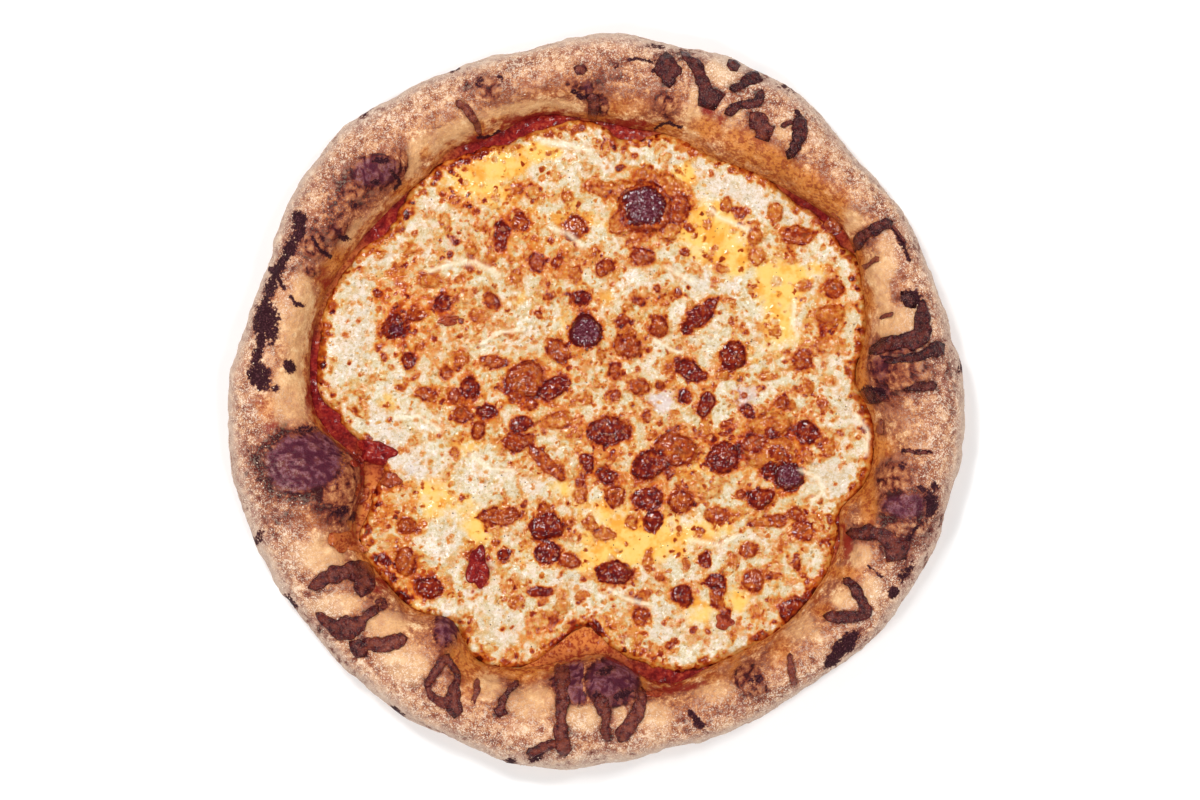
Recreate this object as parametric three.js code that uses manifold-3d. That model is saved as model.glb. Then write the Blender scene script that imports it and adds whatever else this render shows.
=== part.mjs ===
// A cheese pizza, 300 mm across, baked on a stone.
// Three pieces lie in each other: an uneven puffed crust, a thin layer of tomato sauce in the
// crust's well, and a sheet of melted cheese that leaves a ring of the sauce bare.
// Millimetres, +Z up. The underside lies flat on z = 0 with its middle on the Z axis.
// Angles are in degrees, anticlockwise from +X as seen from above.

import * as THREE from 'three';
import { mergeVertices } from 'three/addons/utils/BufferGeometryUtils.js';
import Module from 'manifold-3d';

const wasm = await Module();
wasm.setup();

// ---- driving dimensions ----

const crustRadius = 149;
const wellRadius = 115;
const cheeseRadius = 110;
const baseThickness = 4;
const rimHeight = 22;
const widestHeight = 9;
const footInset = 8;
const sauceThickness = 1.3;
const cheeseThickness = 2.6;
const layerGap = 0.3;
const sauceInset = 1;
const sauceRounding = 1;
const cheeseLip = 0.6;
const cheeseShoulder = 3;
const cheeseRipple = 0.55;
const sauceTop = baseThickness + layerGap + sauceThickness;
const cheeseUnderside = sauceTop + layerGap;
const cheeseTop = cheeseUnderside + cheeseThickness;

// The rim's section is two quarter ovals that meet at its crest, which lies a little outside the
// middle, and a third one under the outer edge. The inner one is steeper at its foot.
const crestShare = 0.52;
const innerSteepness = 1.2;
const undersideSteps = [0, 30, 62];
const outsideSteps = [0, 22, 44, 66];
const insideSteps = [90, 70, 52, 36, 20, 8];

// Even ripples that run round the crust's edge, its crest and the cheese's edge.
const edgeRipples = [{ size: 0.5, count: 13, shift: 0 }];
const crestRipples = [
  { size: 1.1, count: 3, shift: 34 },
  { size: 0.7, count: 7, shift: 115 },
  { size: 0.5, count: 11, shift: 0 },
];
const cheeseRipples = [{ size: 0.7, count: 19, shift: 0 }];

// Each outline is a circle with slow waves: at an angle it steps out or in by some millimetres
// and fades on both sides of that angle.
const crustWaves = [
  { at: 22, spread: 14, by: -2.8 },
  { at: 57, spread: 7, by: 1.3 },
  { at: 70, spread: 5, by: -1.2 },
  { at: 86, spread: 5, by: 1 },
  { at: 105, spread: 9, by: -3 },
  { at: 134, spread: 9, by: 2.8 },
  { at: 159, spread: 10, by: -3 },
  { at: 188, spread: 14, by: 2.2 },
  { at: 214, spread: 14, by: 1.8 },
  { at: 256, spread: 7, by: 2 },
  { at: 287, spread: 13, by: -4.4 },
  { at: 304, spread: 6, by: -3.4 },
  { at: 352, spread: 16, by: 1.9 },
];
const wellWaves = [
  { at: 5, spread: 8, by: -9 },
  { at: 34, spread: 11, by: 7.5 },
  { at: 65, spread: 10, by: -5 },
  { at: 102, spread: 8, by: 4.2 },
  { at: 120, spread: 5, by: 3.8 },
  { at: 163, spread: 17, by: 4.5 },
  { at: 196, spread: 9, by: -16 },
  { at: 225, spread: 20, by: -1.5 },
  { at: 246, spread: 4, by: 2 },
  { at: 265, spread: 9, by: -8.5 },
  { at: 285, spread: 7, by: 4 },
  { at: 309, spread: 17, by: 3.8 },
  { at: 336, spread: 5, by: -6.5 },
];
const cheeseWaves = [
  { at: 5, spread: 7, by: -6.5 },
  { at: 28, spread: 13, by: 5.5 },
  { at: 60, spread: 9, by: -3.5 },
  { at: 84, spread: 8, by: -3.6 },
  { at: 118, spread: 15, by: 2.8 },
  { at: 142, spread: 6, by: -3.5 },
  { at: 163, spread: 12, by: 3.2 },
  { at: 197, spread: 11, by: -18.5 },
  { at: 250, spread: 6, by: 3 },
  { at: 267, spread: 9, by: -19 },
  { at: 286, spread: 6, by: 3.5 },
  { at: 310, spread: 17, by: 7.5 },
  { at: 339, spread: 6, by: -3.5 },
  { at: 350, spread: 5, by: 2 },
];

// Bubbles that swell the rim: place, half width along X and along Y, and height.
const rimBubbles = [
  { name: 'wide left bubble', at: [-121, -27], half: [22, 19], rise: 5 },
  { name: 'upper left bubble', at: [-89, 95], half: [13, 11], rise: 3.5 },
  { name: 'left shoulder', at: [-113, 67], half: [10, 13], rise: 2.5 },
  { name: 'long left puff', at: [-120, 36], half: [8, 20], rise: 2 },
  { name: 'right bubble', at: [124, 13], half: [17, 14], rise: 4 },
  { name: 'pale right blister', at: [125, 33], half: [7, 8], rise: 2.5 },
  { name: 'lower right bubble', at: [126, -42], half: [14, 16], rise: 4 },
  { name: 'bottom bubble', at: [1, -116], half: [17, 12], rise: 5 },
  { name: 'bottom right bubble', at: [63, -113], half: [9, 8], rise: 3 },
  { name: 'lower left blister', at: [-62, -93], half: [6, 7], rise: 4 },
  { name: 'top brown puff', at: [27, 118], half: [11, 10], rise: 2.5 },
  { name: 'top blister', at: [-5, 128], half: [8, 7], rise: 2.5 },
  { name: 'upper right puff', at: [84, 108], half: [12, 10], rise: 2 },
  { name: 'top left swelling', at: [-45, 130], half: [12, 8], rise: 2 },
];

// Strips and blobs of cheese baked dark on the rim: the way each runs, and its width on the way.
const stripThickness = 3.4;
const stripDepth = 0.6;
const rimStrips = [
  { name: 'top oval', path: [[28, 142], [29, 131]], widths: [7, 9, 7] },
  { name: 'top strip', path: [[35, 142], [41, 135], [44, 128], [47, 122]], widths: [5, 5, 6, 11] },
  { name: 'edge blob', path: [[54, 137], [55, 134]], widths: [5, 5] },
  { name: 'edge strip', path: [[55, 128], [61, 131], [67, 134]], widths: [4, 5, 6] },
  { name: 'top hook', path: [[53, 118], [60, 122], [66, 122], [67, 127]], widths: [4, 5, 4, 4] },
  { name: 'tailed blob', path: [[63, 117], [66, 113], [69, 107]], widths: [4, 8, 10] },
  { name: 'bent strip', path: [[83, 115], [82, 108], [79, 101]], widths: [5, 6, 6] },
  { name: 'right strip', path: [[119, 73], [113, 70], [109, 66]], widths: [5, 5, 5] },
  { name: 'right blob', path: [[126, 43], [128, 40]], widths: [8, 8] },
  { name: 'right arc', path: [[133, 40], [133, 28], [126, 24], [114, 21]], widths: [4, 8, 8, 6] },
  { name: 'right tongue', path: [[140, 23], [134, 19], [122, 17]], widths: [6, 7, 3] },
  { name: 'right bean', path: [[132, 6.5], [138, 7]], widths: [5, 6] },
  { name: 'right crumb', path: [[110, 3], [119, 3]], widths: [5, 6] },
  { name: 'lower band', path: [[104, -53], [115, -55], [124, -62]], widths: [5, 6, 10] },
  { name: 'hook leg', path: [[101, -73], [108, -80], [111, -87]], widths: [5, 5, 6] },
  { name: 'hook foot', path: [[109, -87], [102, -88], [95, -87]], widths: [6, 5, 4] },
  { name: 'bottom teardrop', path: [[-33, -115], [-37, -121], [-39, -129]], widths: [3, 4, 8] },
  { name: 'upright strip', path: [[-14, -109], [-14, -124], [-14, -140]], widths: [5, 5, 5] },
  { name: 'foot of it', path: [[-18, -140], [-26, -142]], widths: [4, 5] },
  { name: 'left leg', path: [[3, -126], [4, -135]], widths: [5, 4] },
  { name: 'right leg', path: [[18, -120], [16, -128], [10, -136]], widths: [5, 6, 5] },
  { name: 'dark bean', path: [[38, -127], [42, -133]], widths: [5, 6] },
  { name: 'left strip', path: [[-116, -75], [-106, -71], [-97, -70]], widths: [6, 6, 5] },
  { name: 'end of it', path: [[-96, -69], [-95, -76]], widths: [6, 8] },
  { name: 'left twig', path: [[-112, -88], [-103, -92], [-94, -88], [-89, -83]], widths: [4, 10, 4, 3] },
  { name: 'left loop', path: [[-98, -101], [-90, -98], [-80, -97]], widths: [8, 6, 8] },
  { name: 'ring left side', path: [[-61, -105], [-66, -111], [-67, -117]], widths: [4, 4, 4] },
  { name: 'ring right side', path: [[-59, -106], [-57, -112], [-60, -119]], widths: [4, 4, 4] },
  { name: 'ring end', path: [[-61, -121], [-58, -128]], widths: [7, 8] },
];

// The largest browned blisters of the cheese: place, half length, half width and turn.
const cheeseBlisters = [
  { at: [20, 79], half: [9, 9], turn: 0 },
  { at: [-5, 29], half: [7, 7.5], turn: 0 },
  { at: [-16, 21], half: [5, 4.5], turn: 0 },
  { at: [-83, 30], half: [5, 6], turn: 0 },
  { at: [-63, 41], half: [4, 4], turn: 0 },
  { at: [43, 36], half: [9, 4], turn: 42 },
  { at: [56, 19], half: [5.5, 6.5], turn: 0 },
  { at: [38, 13], half: [7, 3.5], turn: -32 },
  { at: [84, 17], half: [4, 5], turn: 0 },
  { at: [96, 45], half: [4, 4], turn: 0 },
  { at: [95, 35], half: [6, 5], turn: 0 },
  { at: [83, 68], half: [7, 3.5], turn: -5 },
  { at: [-9, 71], half: [4.5, 4.5], turn: 0 },
  { at: [-7, 43], half: [4, 4], turn: 0 },
  { at: [13, 23], half: [6, 5.5], turn: 0 },
  { at: [18, 59], half: [5, 3.5], turn: 0 },
  { at: [-29, 9], half: [7.5, 7], turn: 0 },
  { at: [-16, 5], half: [7.5, 4], turn: 30 },
  { at: [-16, -8], half: [6.5, 4], turn: 20 },
  { at: [-33, -16], half: [6.5, 4], turn: 0 },
  { at: [-20, -25], half: [9, 3.5], turn: -48 },
  { at: [-42, 17], half: [5.5, 3], turn: 5 },
  { at: [-52, 6], half: [4, 4], turn: 0 },
  { at: [4, -12], half: [9, 5.5], turn: -5 },
  { at: [22, -27], half: [8, 4.5], turn: 28 },
  { at: [34, -20], half: [8, 7], turn: -15 },
  { at: [21, -40], half: [6, 4.5], turn: 0 },
  { at: [8, -39], half: [4.5, 4], turn: 0 },
  { at: [34, -41], half: [5.5, 4], turn: 0 },
  { at: [70, -9], half: [8, 4.5], turn: 0 },
  { at: [86, -12], half: [4, 5], turn: 0 },
  { at: [52, -23], half: [6, 6], turn: 0 },
  { at: [66, -21], half: [7, 5.5], turn: -10 },
  { at: [78, -30], half: [6, 6], turn: 0 },
  { at: [67, -39], half: [5, 4], turn: 0 },
  { at: [-77, -51], half: [4, 4], turn: 0 },
  { at: [-78, -65], half: [4.5, 5.5], turn: 0 },
  { at: [-69, -76], half: [5.5, 4.5], turn: 0 },
  { at: [-40, -47], half: [8, 4], turn: 0 },
  { at: [-21, -52], half: [7, 5], turn: 0 },
  { at: [-20, -62], half: [5, 4.5], turn: 0 },
  { at: [7, -70], half: [7, 5], turn: 0 },
  { at: [23, -48], half: [3.5, 4.5], turn: 0 },
  { at: [35, -79], half: [4, 5], turn: 0 },
  { at: [77, -83], half: [4.6, 4.6], turn: 0 },
  { at: [64, -73], half: [4, 4.5], turn: 0 },
  { at: [84, -53], half: [4, 4.5], turn: 0 },
];
const smallBlisterCount = 20;
const smallBlisterHalf = [1.8, 3.4];
const smallBlisterMargin = 16;
const smallBlisterGap = 3;
const blisterRiseShare = 0.34;
const blisterLeastRise = 0.5;
const blisterSides = 7;
const blisterOutline = [[0, -0.5], [1, -0.3], [0.85, 0.45], [0.45, 0.88], [0, 1]];

// Lumps of tomato pulp in the bare ring of sauce.
const sauceLumps = [
  { name: 'left lump', at: [-90, -22], half: [7, 5], rise: 2.4 },
  { name: 'top lump', at: [-51, 105], half: [5, 4], rise: 0.9 },
  { name: 'top right lump', at: [12, 112], half: [9, 4], rise: 0.6 },
];

const crustStations = 132;
const sauceStations = 96;
const cheeseStations = 84;
const cheeseRings = [0.86, 0.7, 0.52, 0.34, 0.16];
const stripSides = 6;
const stripStepsPerPoint = 2;

// ---- helpers ----

const { degToRad, radToDeg, lerp, clamp } = THREE.MathUtils;

// A repeatable source of numbers from 0 to 1.
function makeDraw(seed) {
  let state = seed;
  return () => {
    state = (state * 1664525 + 1013904223) % 4294967296;
    return state / 4294967296;
  };
}

function addWaves(waves, angle) {
  let sum = 0;
  for (const wave of waves) {
    const apart = Math.abs(((angle - wave.at + 540) % 360) - 180);
    sum += wave.by * Math.exp(-((apart / wave.spread) ** 2));
  }
  return sum;
}

function addRipples(ripples, angle) {
  return ripples.reduce((sum, { size, count, shift }) => (
    sum + size * Math.sin(degToRad(count * angle + shift))
  ), 0);
}

// A soft mound: its full height at the middle, a fifth at its half widths, and then nothing soon.
function moundAt(mound, x, y) {
  const stepX = (x - mound.at[0]) / mound.half[0];
  const stepY = (y - mound.at[1]) / mound.half[1];
  return mound.rise * Math.exp(Math.log(0.2) * (stepX * stepX + stepY * stepY));
}

function sumMounds(mounds, x, y) {
  return mounds.reduce((sum, mound) => sum + moundAt(mound, x, y), 0);
}

// Values spread evenly over 0 to 1, read at a share between them.
function along(values, share) {
  const place = clamp(share, 0, 1) * (values.length - 1);
  const before = Math.min(Math.floor(place), values.length - 2);
  return lerp(values[before], values[before + 1], place - before);
}

// Only positions are kept, shared corners are one vertex, and flat slivers at a pole are dropped.
function weld(geometry) {
  geometry.deleteAttribute('normal');
  geometry.deleteAttribute('uv');
  const merged = mergeVertices(geometry, 1e-4);
  const corners = merged.index.array;
  const kept = [];
  for (let first = 0; first < corners.length; first += 3) {
    const [a, b, c] = corners.slice(first, first + 3);
    if (a !== b && b !== c && c !== a) {
      kept.push(a, b, c);
    }
  }
  merged.setIndex(kept);
  return merged;
}

function toSolid(geometry) {
  const welded = weld(geometry);
  return new wasm.Manifold(new wasm.Mesh({
    numProp: 3,
    vertProperties: new Float32Array(welded.attributes.position.array),
    triVerts: new Uint32Array(welded.index.array),
  }));
}

function toGeometry(solid) {
  const mesh = solid.getMesh();
  const geometry = new THREE.BufferGeometry();
  geometry.setAttribute('position', new THREE.BufferAttribute(mesh.vertProperties, 3));
  geometry.setIndex(new THREE.BufferAttribute(mesh.triVerts, 1));
  return geometry;
}

// A turned body whose profile changes on its way round. profileAt(angle) lists [radius, height]
// from the middle of the underside, round the edge, to the middle of the top.
function unevenTurning(profileAt, stations) {
  const rows = profileAt(0).length;
  const plain = Array.from({ length: rows }, (_, row) => new THREE.Vector2(1, row));
  const geometry = new THREE.LatheGeometry(plain, stations);
  for (let station = 0; station <= stations; station += 1) {
    const angle = (360 * (station % stations)) / stations;
    const turn = degToRad(angle);
    profileAt(angle).forEach(([radius, height], row) => {
      const vertex = station * rows + row;
      geometry.attributes.position.setXYZ(
        vertex,
        radius * Math.cos(turn),
        radius * Math.sin(turn),
        height,
      );
    });
  }
  return geometry;
}

// ---- crust ----

function crustEdge(angle) {
  return crustRadius + addWaves(crustWaves, angle) + addRipples(edgeRipples, angle);
}

function wellEdge(angle) {
  return wellRadius + addWaves(wellWaves, angle);
}

// Height of the dough's top surface above its underside, at a place on the rim.
function rimSurface(x, y) {
  const angle = (radToDeg(Math.atan2(y, x)) + 360) % 360;
  const radius = Math.hypot(x, y);
  const inner = wellEdge(angle);
  const outer = crustEdge(angle);
  const crest = lerp(inner, outer, crestShare);
  const height = rimHeight + addRipples(crestRipples, angle);
  if (radius <= inner) {
    return baseThickness;
  }
  if (radius < crest) {
    const share = (crest - radius) / (crest - inner);
    const swell = Math.sqrt(1 - share * share) ** innerSteepness;
    return lerp(baseThickness, height, swell) + swell * sumMounds(rimBubbles, x, y);
  }
  const share = clamp((radius - crest) / (outer - crest), 0, 1);
  const swell = Math.sqrt(1 - share * share);
  return lerp(widestHeight, height, swell) + swell * sumMounds(rimBubbles, x, y);
}

function crustProfile(angle) {
  const turn = degToRad(angle);
  const inner = wellEdge(angle);
  const outer = crustEdge(angle);
  const crest = lerp(inner, outer, crestShare);
  const foot = outer - footInset;
  const onTop = (radius) => [radius, rimSurface(radius * Math.cos(turn), radius * Math.sin(turn))];
  const underside = undersideSteps.map((step) => [
    foot + footInset * Math.sin(degToRad(step)),
    widestHeight * (1 - Math.cos(degToRad(step))),
  ]);
  const outside = outsideSteps.map((step) => onTop(lerp(crest, outer, Math.cos(degToRad(step)))));
  const inside = insideSteps.map((step) => onTop(lerp(crest, inner, Math.cos(degToRad(step)))));
  return [[0, 0], ...underside, ...outside, ...inside, [inner, baseThickness], [0, baseThickness]];
}

// A flat strip that lies on the rim and follows its rise and fall: the rings of a sphere are
// carried to their places along the path, drawn out to its width, and pressed onto the dough.
function rimStrip({ path, widths }) {
  const steps = path.length * stripStepsPerPoint + 1;
  const curve = new THREE.CatmullRomCurve3(path.map(([x, y]) => new THREE.Vector3(x, y, 0)));
  const geometry = new THREE.SphereGeometry(1, stripSides, steps);
  const position = geometry.attributes.position;
  for (let vertex = 0; vertex < position.count; vertex += 1) {
    const share = Math.acos(clamp(position.getY(vertex), -1, 1)) / Math.PI;
    const atPole = share < 1e-3 || share > 0.999;
    const ends = atPole ? 0 : Math.sqrt(Math.sin(Math.PI * share));
    const around = Math.atan2(position.getZ(vertex), position.getX(vertex));
    const middle = curve.getPoint(share);
    const heading = curve.getTangent(share);
    const sideways = 0.5 * along(widths, share) * ends * Math.cos(around);
    const x = middle.x - heading.y * sideways;
    const y = middle.y + heading.x * sideways;
    const lift = 0.5 * stripThickness * ends * Math.sin(around);
    position.setXYZ(vertex, x, y, rimSurface(x, y) + lift - stripDepth);
  }
  return geometry;
}

function makeCrust() {
  let solid = toSolid(unevenTurning(crustProfile, crustStations));
  for (const strip of rimStrips) {
    solid = solid.add(toSolid(rimStrip(strip)));
  }
  return toGeometry(solid);
}

// ---- sauce ----

function cheeseEdge(angle) {
  return cheeseRadius + addWaves(cheeseWaves, angle) + addRipples(cheeseRipples, angle);
}

// The lumps swell the middle of the bare ring, between the cheese's edge and the sauce's own.
function sauceProfile(angle) {
  const turn = degToRad(angle);
  const underside = baseThickness + layerGap;
  const edge = wellEdge(angle) - sauceInset;
  const bareTo = edge - sauceRounding;
  const bareFrom = Math.min(cheeseEdge(angle) + sauceRounding, bareTo - sauceRounding);
  const middle = (bareFrom + bareTo) / 2;
  const lump = sumMounds(sauceLumps, middle * Math.cos(turn), middle * Math.sin(turn));
  return [
    [0, underside],
    [edge, underside],
    [edge, sauceTop - sauceRounding / 2],
    [bareTo, sauceTop],
    [middle, sauceTop + lump],
    [bareFrom, sauceTop],
    [0, sauceTop],
  ];
}

// ---- cheese ----

// Two crossing swells and a finer slanting one, all in lengths of some centimetres.
function cheeseSurface(x, y) {
  const swells = Math.sin(x / 9 + y / 17) * Math.sin(y / 8 - x / 23);
  const slant = Math.sin(x / 5 - y / 6);
  return cheeseTop + cheeseRipple * (swells + 0.6 * slant);
}

function cheeseProfile(angle) {
  const turn = degToRad(angle);
  const edge = cheeseEdge(angle);
  const onTop = (radius) => [radius, cheeseSurface(radius * Math.cos(turn), radius * Math.sin(turn))];
  return [
    [0, cheeseUnderside],
    [edge - cheeseLip, cheeseUnderside],
    [edge, cheeseUnderside + cheeseLip],
    [edge - cheeseLip, cheeseUnderside + cheeseThickness - 1],
    onTop(edge - cheeseShoulder),
    ...cheeseRings.map((share) => onTop(edge * share)),
    [0, cheeseSurface(0, 0)],
  ];
}

// A low dome with a rounded shoulder, standing a little deep in the cheese.
function blister({ at, half, turn }) {
  const outline = blisterOutline.map(([x, y]) => new THREE.Vector2(x, y));
  const geometry = new THREE.LatheGeometry(outline, blisterSides);
  const rise = blisterLeastRise + blisterRiseShare * Math.min(...half);
  geometry.rotateX(Math.PI / 2);
  geometry.scale(half[0], half[1], rise);
  geometry.rotateZ(degToRad(turn));
  geometry.translate(at[0], at[1], cheeseSurface(...at));
  return geometry;
}

// Smaller blisters between the large ones: drawn at random, and kept where there is room.
function drawSmallBlisters() {
  const draw = makeDraw(7);
  const drawn = [];
  while (drawn.length < smallBlisterCount) {
    const radius = (cheeseRadius - smallBlisterMargin) * Math.sqrt(draw());
    const turn = 2 * Math.PI * draw();
    const size = lerp(smallBlisterHalf[0], smallBlisterHalf[1], draw() ** 2);
    const at = [radius * Math.cos(turn), radius * Math.sin(turn)];
    const crowded = [...cheeseBlisters, ...drawn].some((other) => {
      const apart = Math.hypot(other.at[0] - at[0], other.at[1] - at[1]);
      return apart < Math.max(...other.half) + size + smallBlisterGap;
    });
    if (!crowded) {
      drawn.push({ at, half: [size, size * lerp(0.75, 1, draw())], turn: 180 * draw() });
    }
  }
  return drawn;
}

function makeCheese() {
  let solid = toSolid(unevenTurning(cheeseProfile, cheeseStations));
  for (const spot of [...cheeseBlisters, ...drawSmallBlisters()]) {
    solid = solid.add(toSolid(blister(spot)));
  }
  return toGeometry(solid);
}

// ---- the pizza ----

function piece(name, geometry, finish) {
  geometry.computeVertexNormals();
  const mesh = new THREE.Mesh(geometry, new THREE.MeshStandardMaterial({ metalness: 0, ...finish }));
  mesh.name = name;
  return mesh;
}

const pizza = new THREE.Group();
pizza.name = 'cheese_pizza';
pizza.add(
  piece('crust', makeCrust(), { color: 0xc79a6b, roughness: 0.85 }),
  piece('sauce', weld(unevenTurning(sauceProfile, sauceStations)), { color: 0xa6281a, roughness: 0.4 }),
  piece('cheese', makeCheese(), { color: 0xe9cf9c, roughness: 0.45 }),
);

// The outline is uneven, so the pizza is moved until the middle of its box is on the Z axis.
const box = new THREE.Box3().setFromObject(pizza);
const middle = box.getCenter(new THREE.Vector3());
pizza.position.set(-middle.x, -middle.y, 0);

export default pizza;
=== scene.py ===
import itertools
import math

import bpy
import numpy as np
from mathutils import Euler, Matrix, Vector
from mathutils.bvhtree import BVHTree


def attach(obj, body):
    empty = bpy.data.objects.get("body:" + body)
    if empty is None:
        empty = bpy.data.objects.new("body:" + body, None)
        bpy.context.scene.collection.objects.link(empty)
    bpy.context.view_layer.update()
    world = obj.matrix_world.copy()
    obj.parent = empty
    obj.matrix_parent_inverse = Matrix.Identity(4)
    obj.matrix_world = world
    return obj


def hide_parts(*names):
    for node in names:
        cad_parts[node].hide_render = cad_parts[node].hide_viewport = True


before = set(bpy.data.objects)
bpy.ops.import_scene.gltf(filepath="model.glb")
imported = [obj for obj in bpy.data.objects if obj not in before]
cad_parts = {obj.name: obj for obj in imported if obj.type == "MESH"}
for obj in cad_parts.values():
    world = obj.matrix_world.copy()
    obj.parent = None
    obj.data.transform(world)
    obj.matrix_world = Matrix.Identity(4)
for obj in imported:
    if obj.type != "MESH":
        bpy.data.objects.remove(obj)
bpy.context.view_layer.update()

# Lengths are millimetres until a mesh is made. Places on the pizza are often given as pixels of
# the photograph (1200 x 800, straight from above), and a point in space finds its own pixel.
view = {
    "frameWidth": 1200,
    "frameMiddle": (600.0, 400.0),     # pixel under the camera
    "pizzaMiddle": (597.0, 401.5),     # pixel of the middle that the outlines turn round
    "middleInFrame": (0.156, -0.800),  # that middle in the frame, mm
    "mmPerPixel": 0.408,               # at sharpHeight
    "sharpHeight": 10.0,
    "cameraHeight": 1600.0,
    "sensorWidth": 36.0,
}
mmPerPixel = view["mmPerPixel"]
cameraX = view["middleInFrame"][0] + (view["frameMiddle"][0] - view["pizzaMiddle"][0]) * mmPerPixel
cameraY = view["middleInFrame"][1] + (view["pizzaMiddle"][1] - view["frameMiddle"][1]) * mmPerPixel
cameraDrop = view["cameraHeight"] - view["sharpHeight"]


def toPhoto(points):
    # the pixel at which each point of an (n, 3) array is seen
    scale = cameraDrop / (view["cameraHeight"] - points[:, 2]) / mmPerPixel
    pixelX = view["frameMiddle"][0] + (points[:, 0] - cameraX) * scale
    pixelY = view["frameMiddle"][1] - (points[:, 1] - cameraY) * scale
    return pixelX, pixelY


def fromPhoto(pixelX, pixelY, height):
    # where the line of sight through a pixel meets a height
    scale = (view["cameraHeight"] - height) / cameraDrop * mmPerPixel
    return (cameraX + (pixelX - view["frameMiddle"][0]) * scale,
            cameraY - (pixelY - view["frameMiddle"][1]) * scale)


# Shared sums: noise, waves, patches and blisters.

def lerp(low, high, share):
    return low + (high - low) * share


def smoothStep(value, low, high):
    share = np.clip((value - low) / (high - low), 0.0, 1.0)
    return share * share * (3.0 - 2.0 * share)


def cellNumber(cells, seed):
    # a fixed number from -1 to 1 for each whole cell
    mixed = (cells[:, 0] * 73856093) ^ (cells[:, 1] * 19349663) ^ (cells[:, 2] * 83492791)
    mixed = ((mixed ^ (seed * 2654435761)) & 0xFFFFFFFF).astype(np.uint64)
    mixed = ((mixed ^ (mixed >> np.uint64(15))) * np.uint64(2246822519)) & np.uint64(0xFFFFFFFF)
    mixed = ((mixed ^ (mixed >> np.uint64(13))) * np.uint64(3266489917)) & np.uint64(0xFFFFFFFF)
    mixed = mixed ^ (mixed >> np.uint64(16))
    return mixed.astype(np.float64) / 2147483648.0 - 1.0


def smoothNoise(points, size, seed):
    cells = points / size
    low = np.floor(cells).astype(np.int64)
    part = cells - low
    ease = part ** 3 * (part * (part * 6.0 - 15.0) + 10.0)
    total = np.zeros(len(cells))
    for corner in itertools.product((0, 1), repeat=3):
        weight = np.prod(np.where(corner, ease, 1.0 - ease), axis=1)
        total += weight * cellNumber(low + np.array(corner), seed)
    return total


def fractalNoise(points, size, octaves, seed):
    total = np.zeros(len(points))
    reach = 0.0
    for octave in range(octaves):
        share = 0.55 ** octave
        total += share * smoothNoise(points, size / 2 ** octave, seed + octave)
        reach += share
    return total / reach


def ridgedNoise(points, size, seed):
    # 1 on thin winding lines, falling off to both sides
    return 1.0 - np.abs(smoothNoise(points, size, seed)) * 2.2


def onPlane(x, y):
    return np.stack([x, y, np.zeros_like(x)], axis=1)


def addWaves(waves, angle):
    total = np.zeros_like(angle)
    for at, spread, step in waves:
        apart = np.abs((angle - at + 540.0) % 360.0 - 180.0)
        total += step * np.exp(-(apart / spread) ** 2)
    return total


def addRipples(ripples, angle):
    return sum(size * np.sin(np.radians(count * angle + shift)) for size, count, shift in ripples)


def patchDistance(pixelX, pixelY, patch):
    # 0 at the patch's middle and 1 on its outline
    atX, atY, halfLong, halfWide, turn = patch[:5]
    cosTurn, sinTurn = math.cos(math.radians(turn)), math.sin(math.radians(turn))
    right, up = pixelX - atX, atY - pixelY
    return np.hypot((right * cosTurn + up * sinTurn) / halfLong,
                    (up * cosTurn - right * sinTurn) / halfWide)


def patchField(pixelX, pixelY, patches, crispness=4.0):
    # patches are (x, y, half length, half width, turn, strength) in pixels and degrees
    clear = np.ones_like(pixelX)
    for patch in patches:
        distance = patchDistance(pixelX, pixelY, patch)
        clear *= 1.0 - patch[5] / (1.0 + np.exp(np.clip((distance - 1.0) * crispness, -40, 40)))
    return 1.0 - clear


def lineField(pixelX, pixelY, lines):
    # lines are (list of pixels, half width in pixels): 1 on the line, fading to both sides
    field = np.zeros_like(pixelX)
    for path, halfWidth in lines:
        for (startX, startY), (endX, endY) in zip(path, path[1:]):
            runX, runY = endX - startX, endY - startY
            share = ((pixelX - startX) * runX + (pixelY - startY) * runY) / (runX ** 2 + runY ** 2)
            share = np.clip(share, 0.0, 1.0)
            away = np.hypot(pixelX - startX - share * runX, pixelY - startY - share * runY)
            field = np.maximum(field, np.exp(-(away / halfWidth) ** 2))
    return field


def blisterField(pixelX, pixelY, blisters, riseShare=0.30, leastRise=0.45):
    # blisters are (x, y, half length, half width, turn, tone). Gives, for each point, how far it
    # is inside a blister's outline (mm, negative outside), that blister's tone, the swelling, and
    # the browning that spreads round it.
    depth = np.full_like(pixelX, -9.0)
    halo = np.zeros_like(pixelX)
    tone = np.full_like(pixelX, 0.4)
    swelling = np.zeros_like(pixelX)
    for blister in blisters:
        atX, atY, halfLong, halfWide, turn, blisterTone = blister[:6]
        reach = max(halfLong, halfWide) + 24.0
        near = np.flatnonzero((np.abs(pixelX - atX) < reach) & (np.abs(pixelY - atY) < reach))
        if not len(near):
            continue
        distance = patchDistance(pixelX[near], pixelY[near], blister)
        inside = (1.0 - distance) * math.sqrt(halfLong * halfWide) * mmPerPixel
        wins = (inside > 0.0) | (inside > depth[near])
        depth[near] = np.where(wins, inside, depth[near])
        tone[near] = np.where(wins, blisterTone, tone[near])
        narrow = min(halfLong, halfWide) * mmPerPixel
        fading = np.exp(np.minimum(inside, 0.0) / (0.55 + 0.40 * narrow))
        halo[near] = 1.0 - (1.0 - halo[near]) * (1.0 - min(1.0, 0.25 + blisterTone) * fading)
        rise = leastRise + riseShare * narrow
        bulge = np.clip(inside / (0.65 * narrow), 0.0, 1.0)
        lift = rise * np.sqrt(1.0 - (1.0 - bulge) ** 2)
        swelling[near] = np.maximum(swelling[near], lift)
    return depth, tone, swelling, halo


# Mesh and object helpers.

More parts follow.
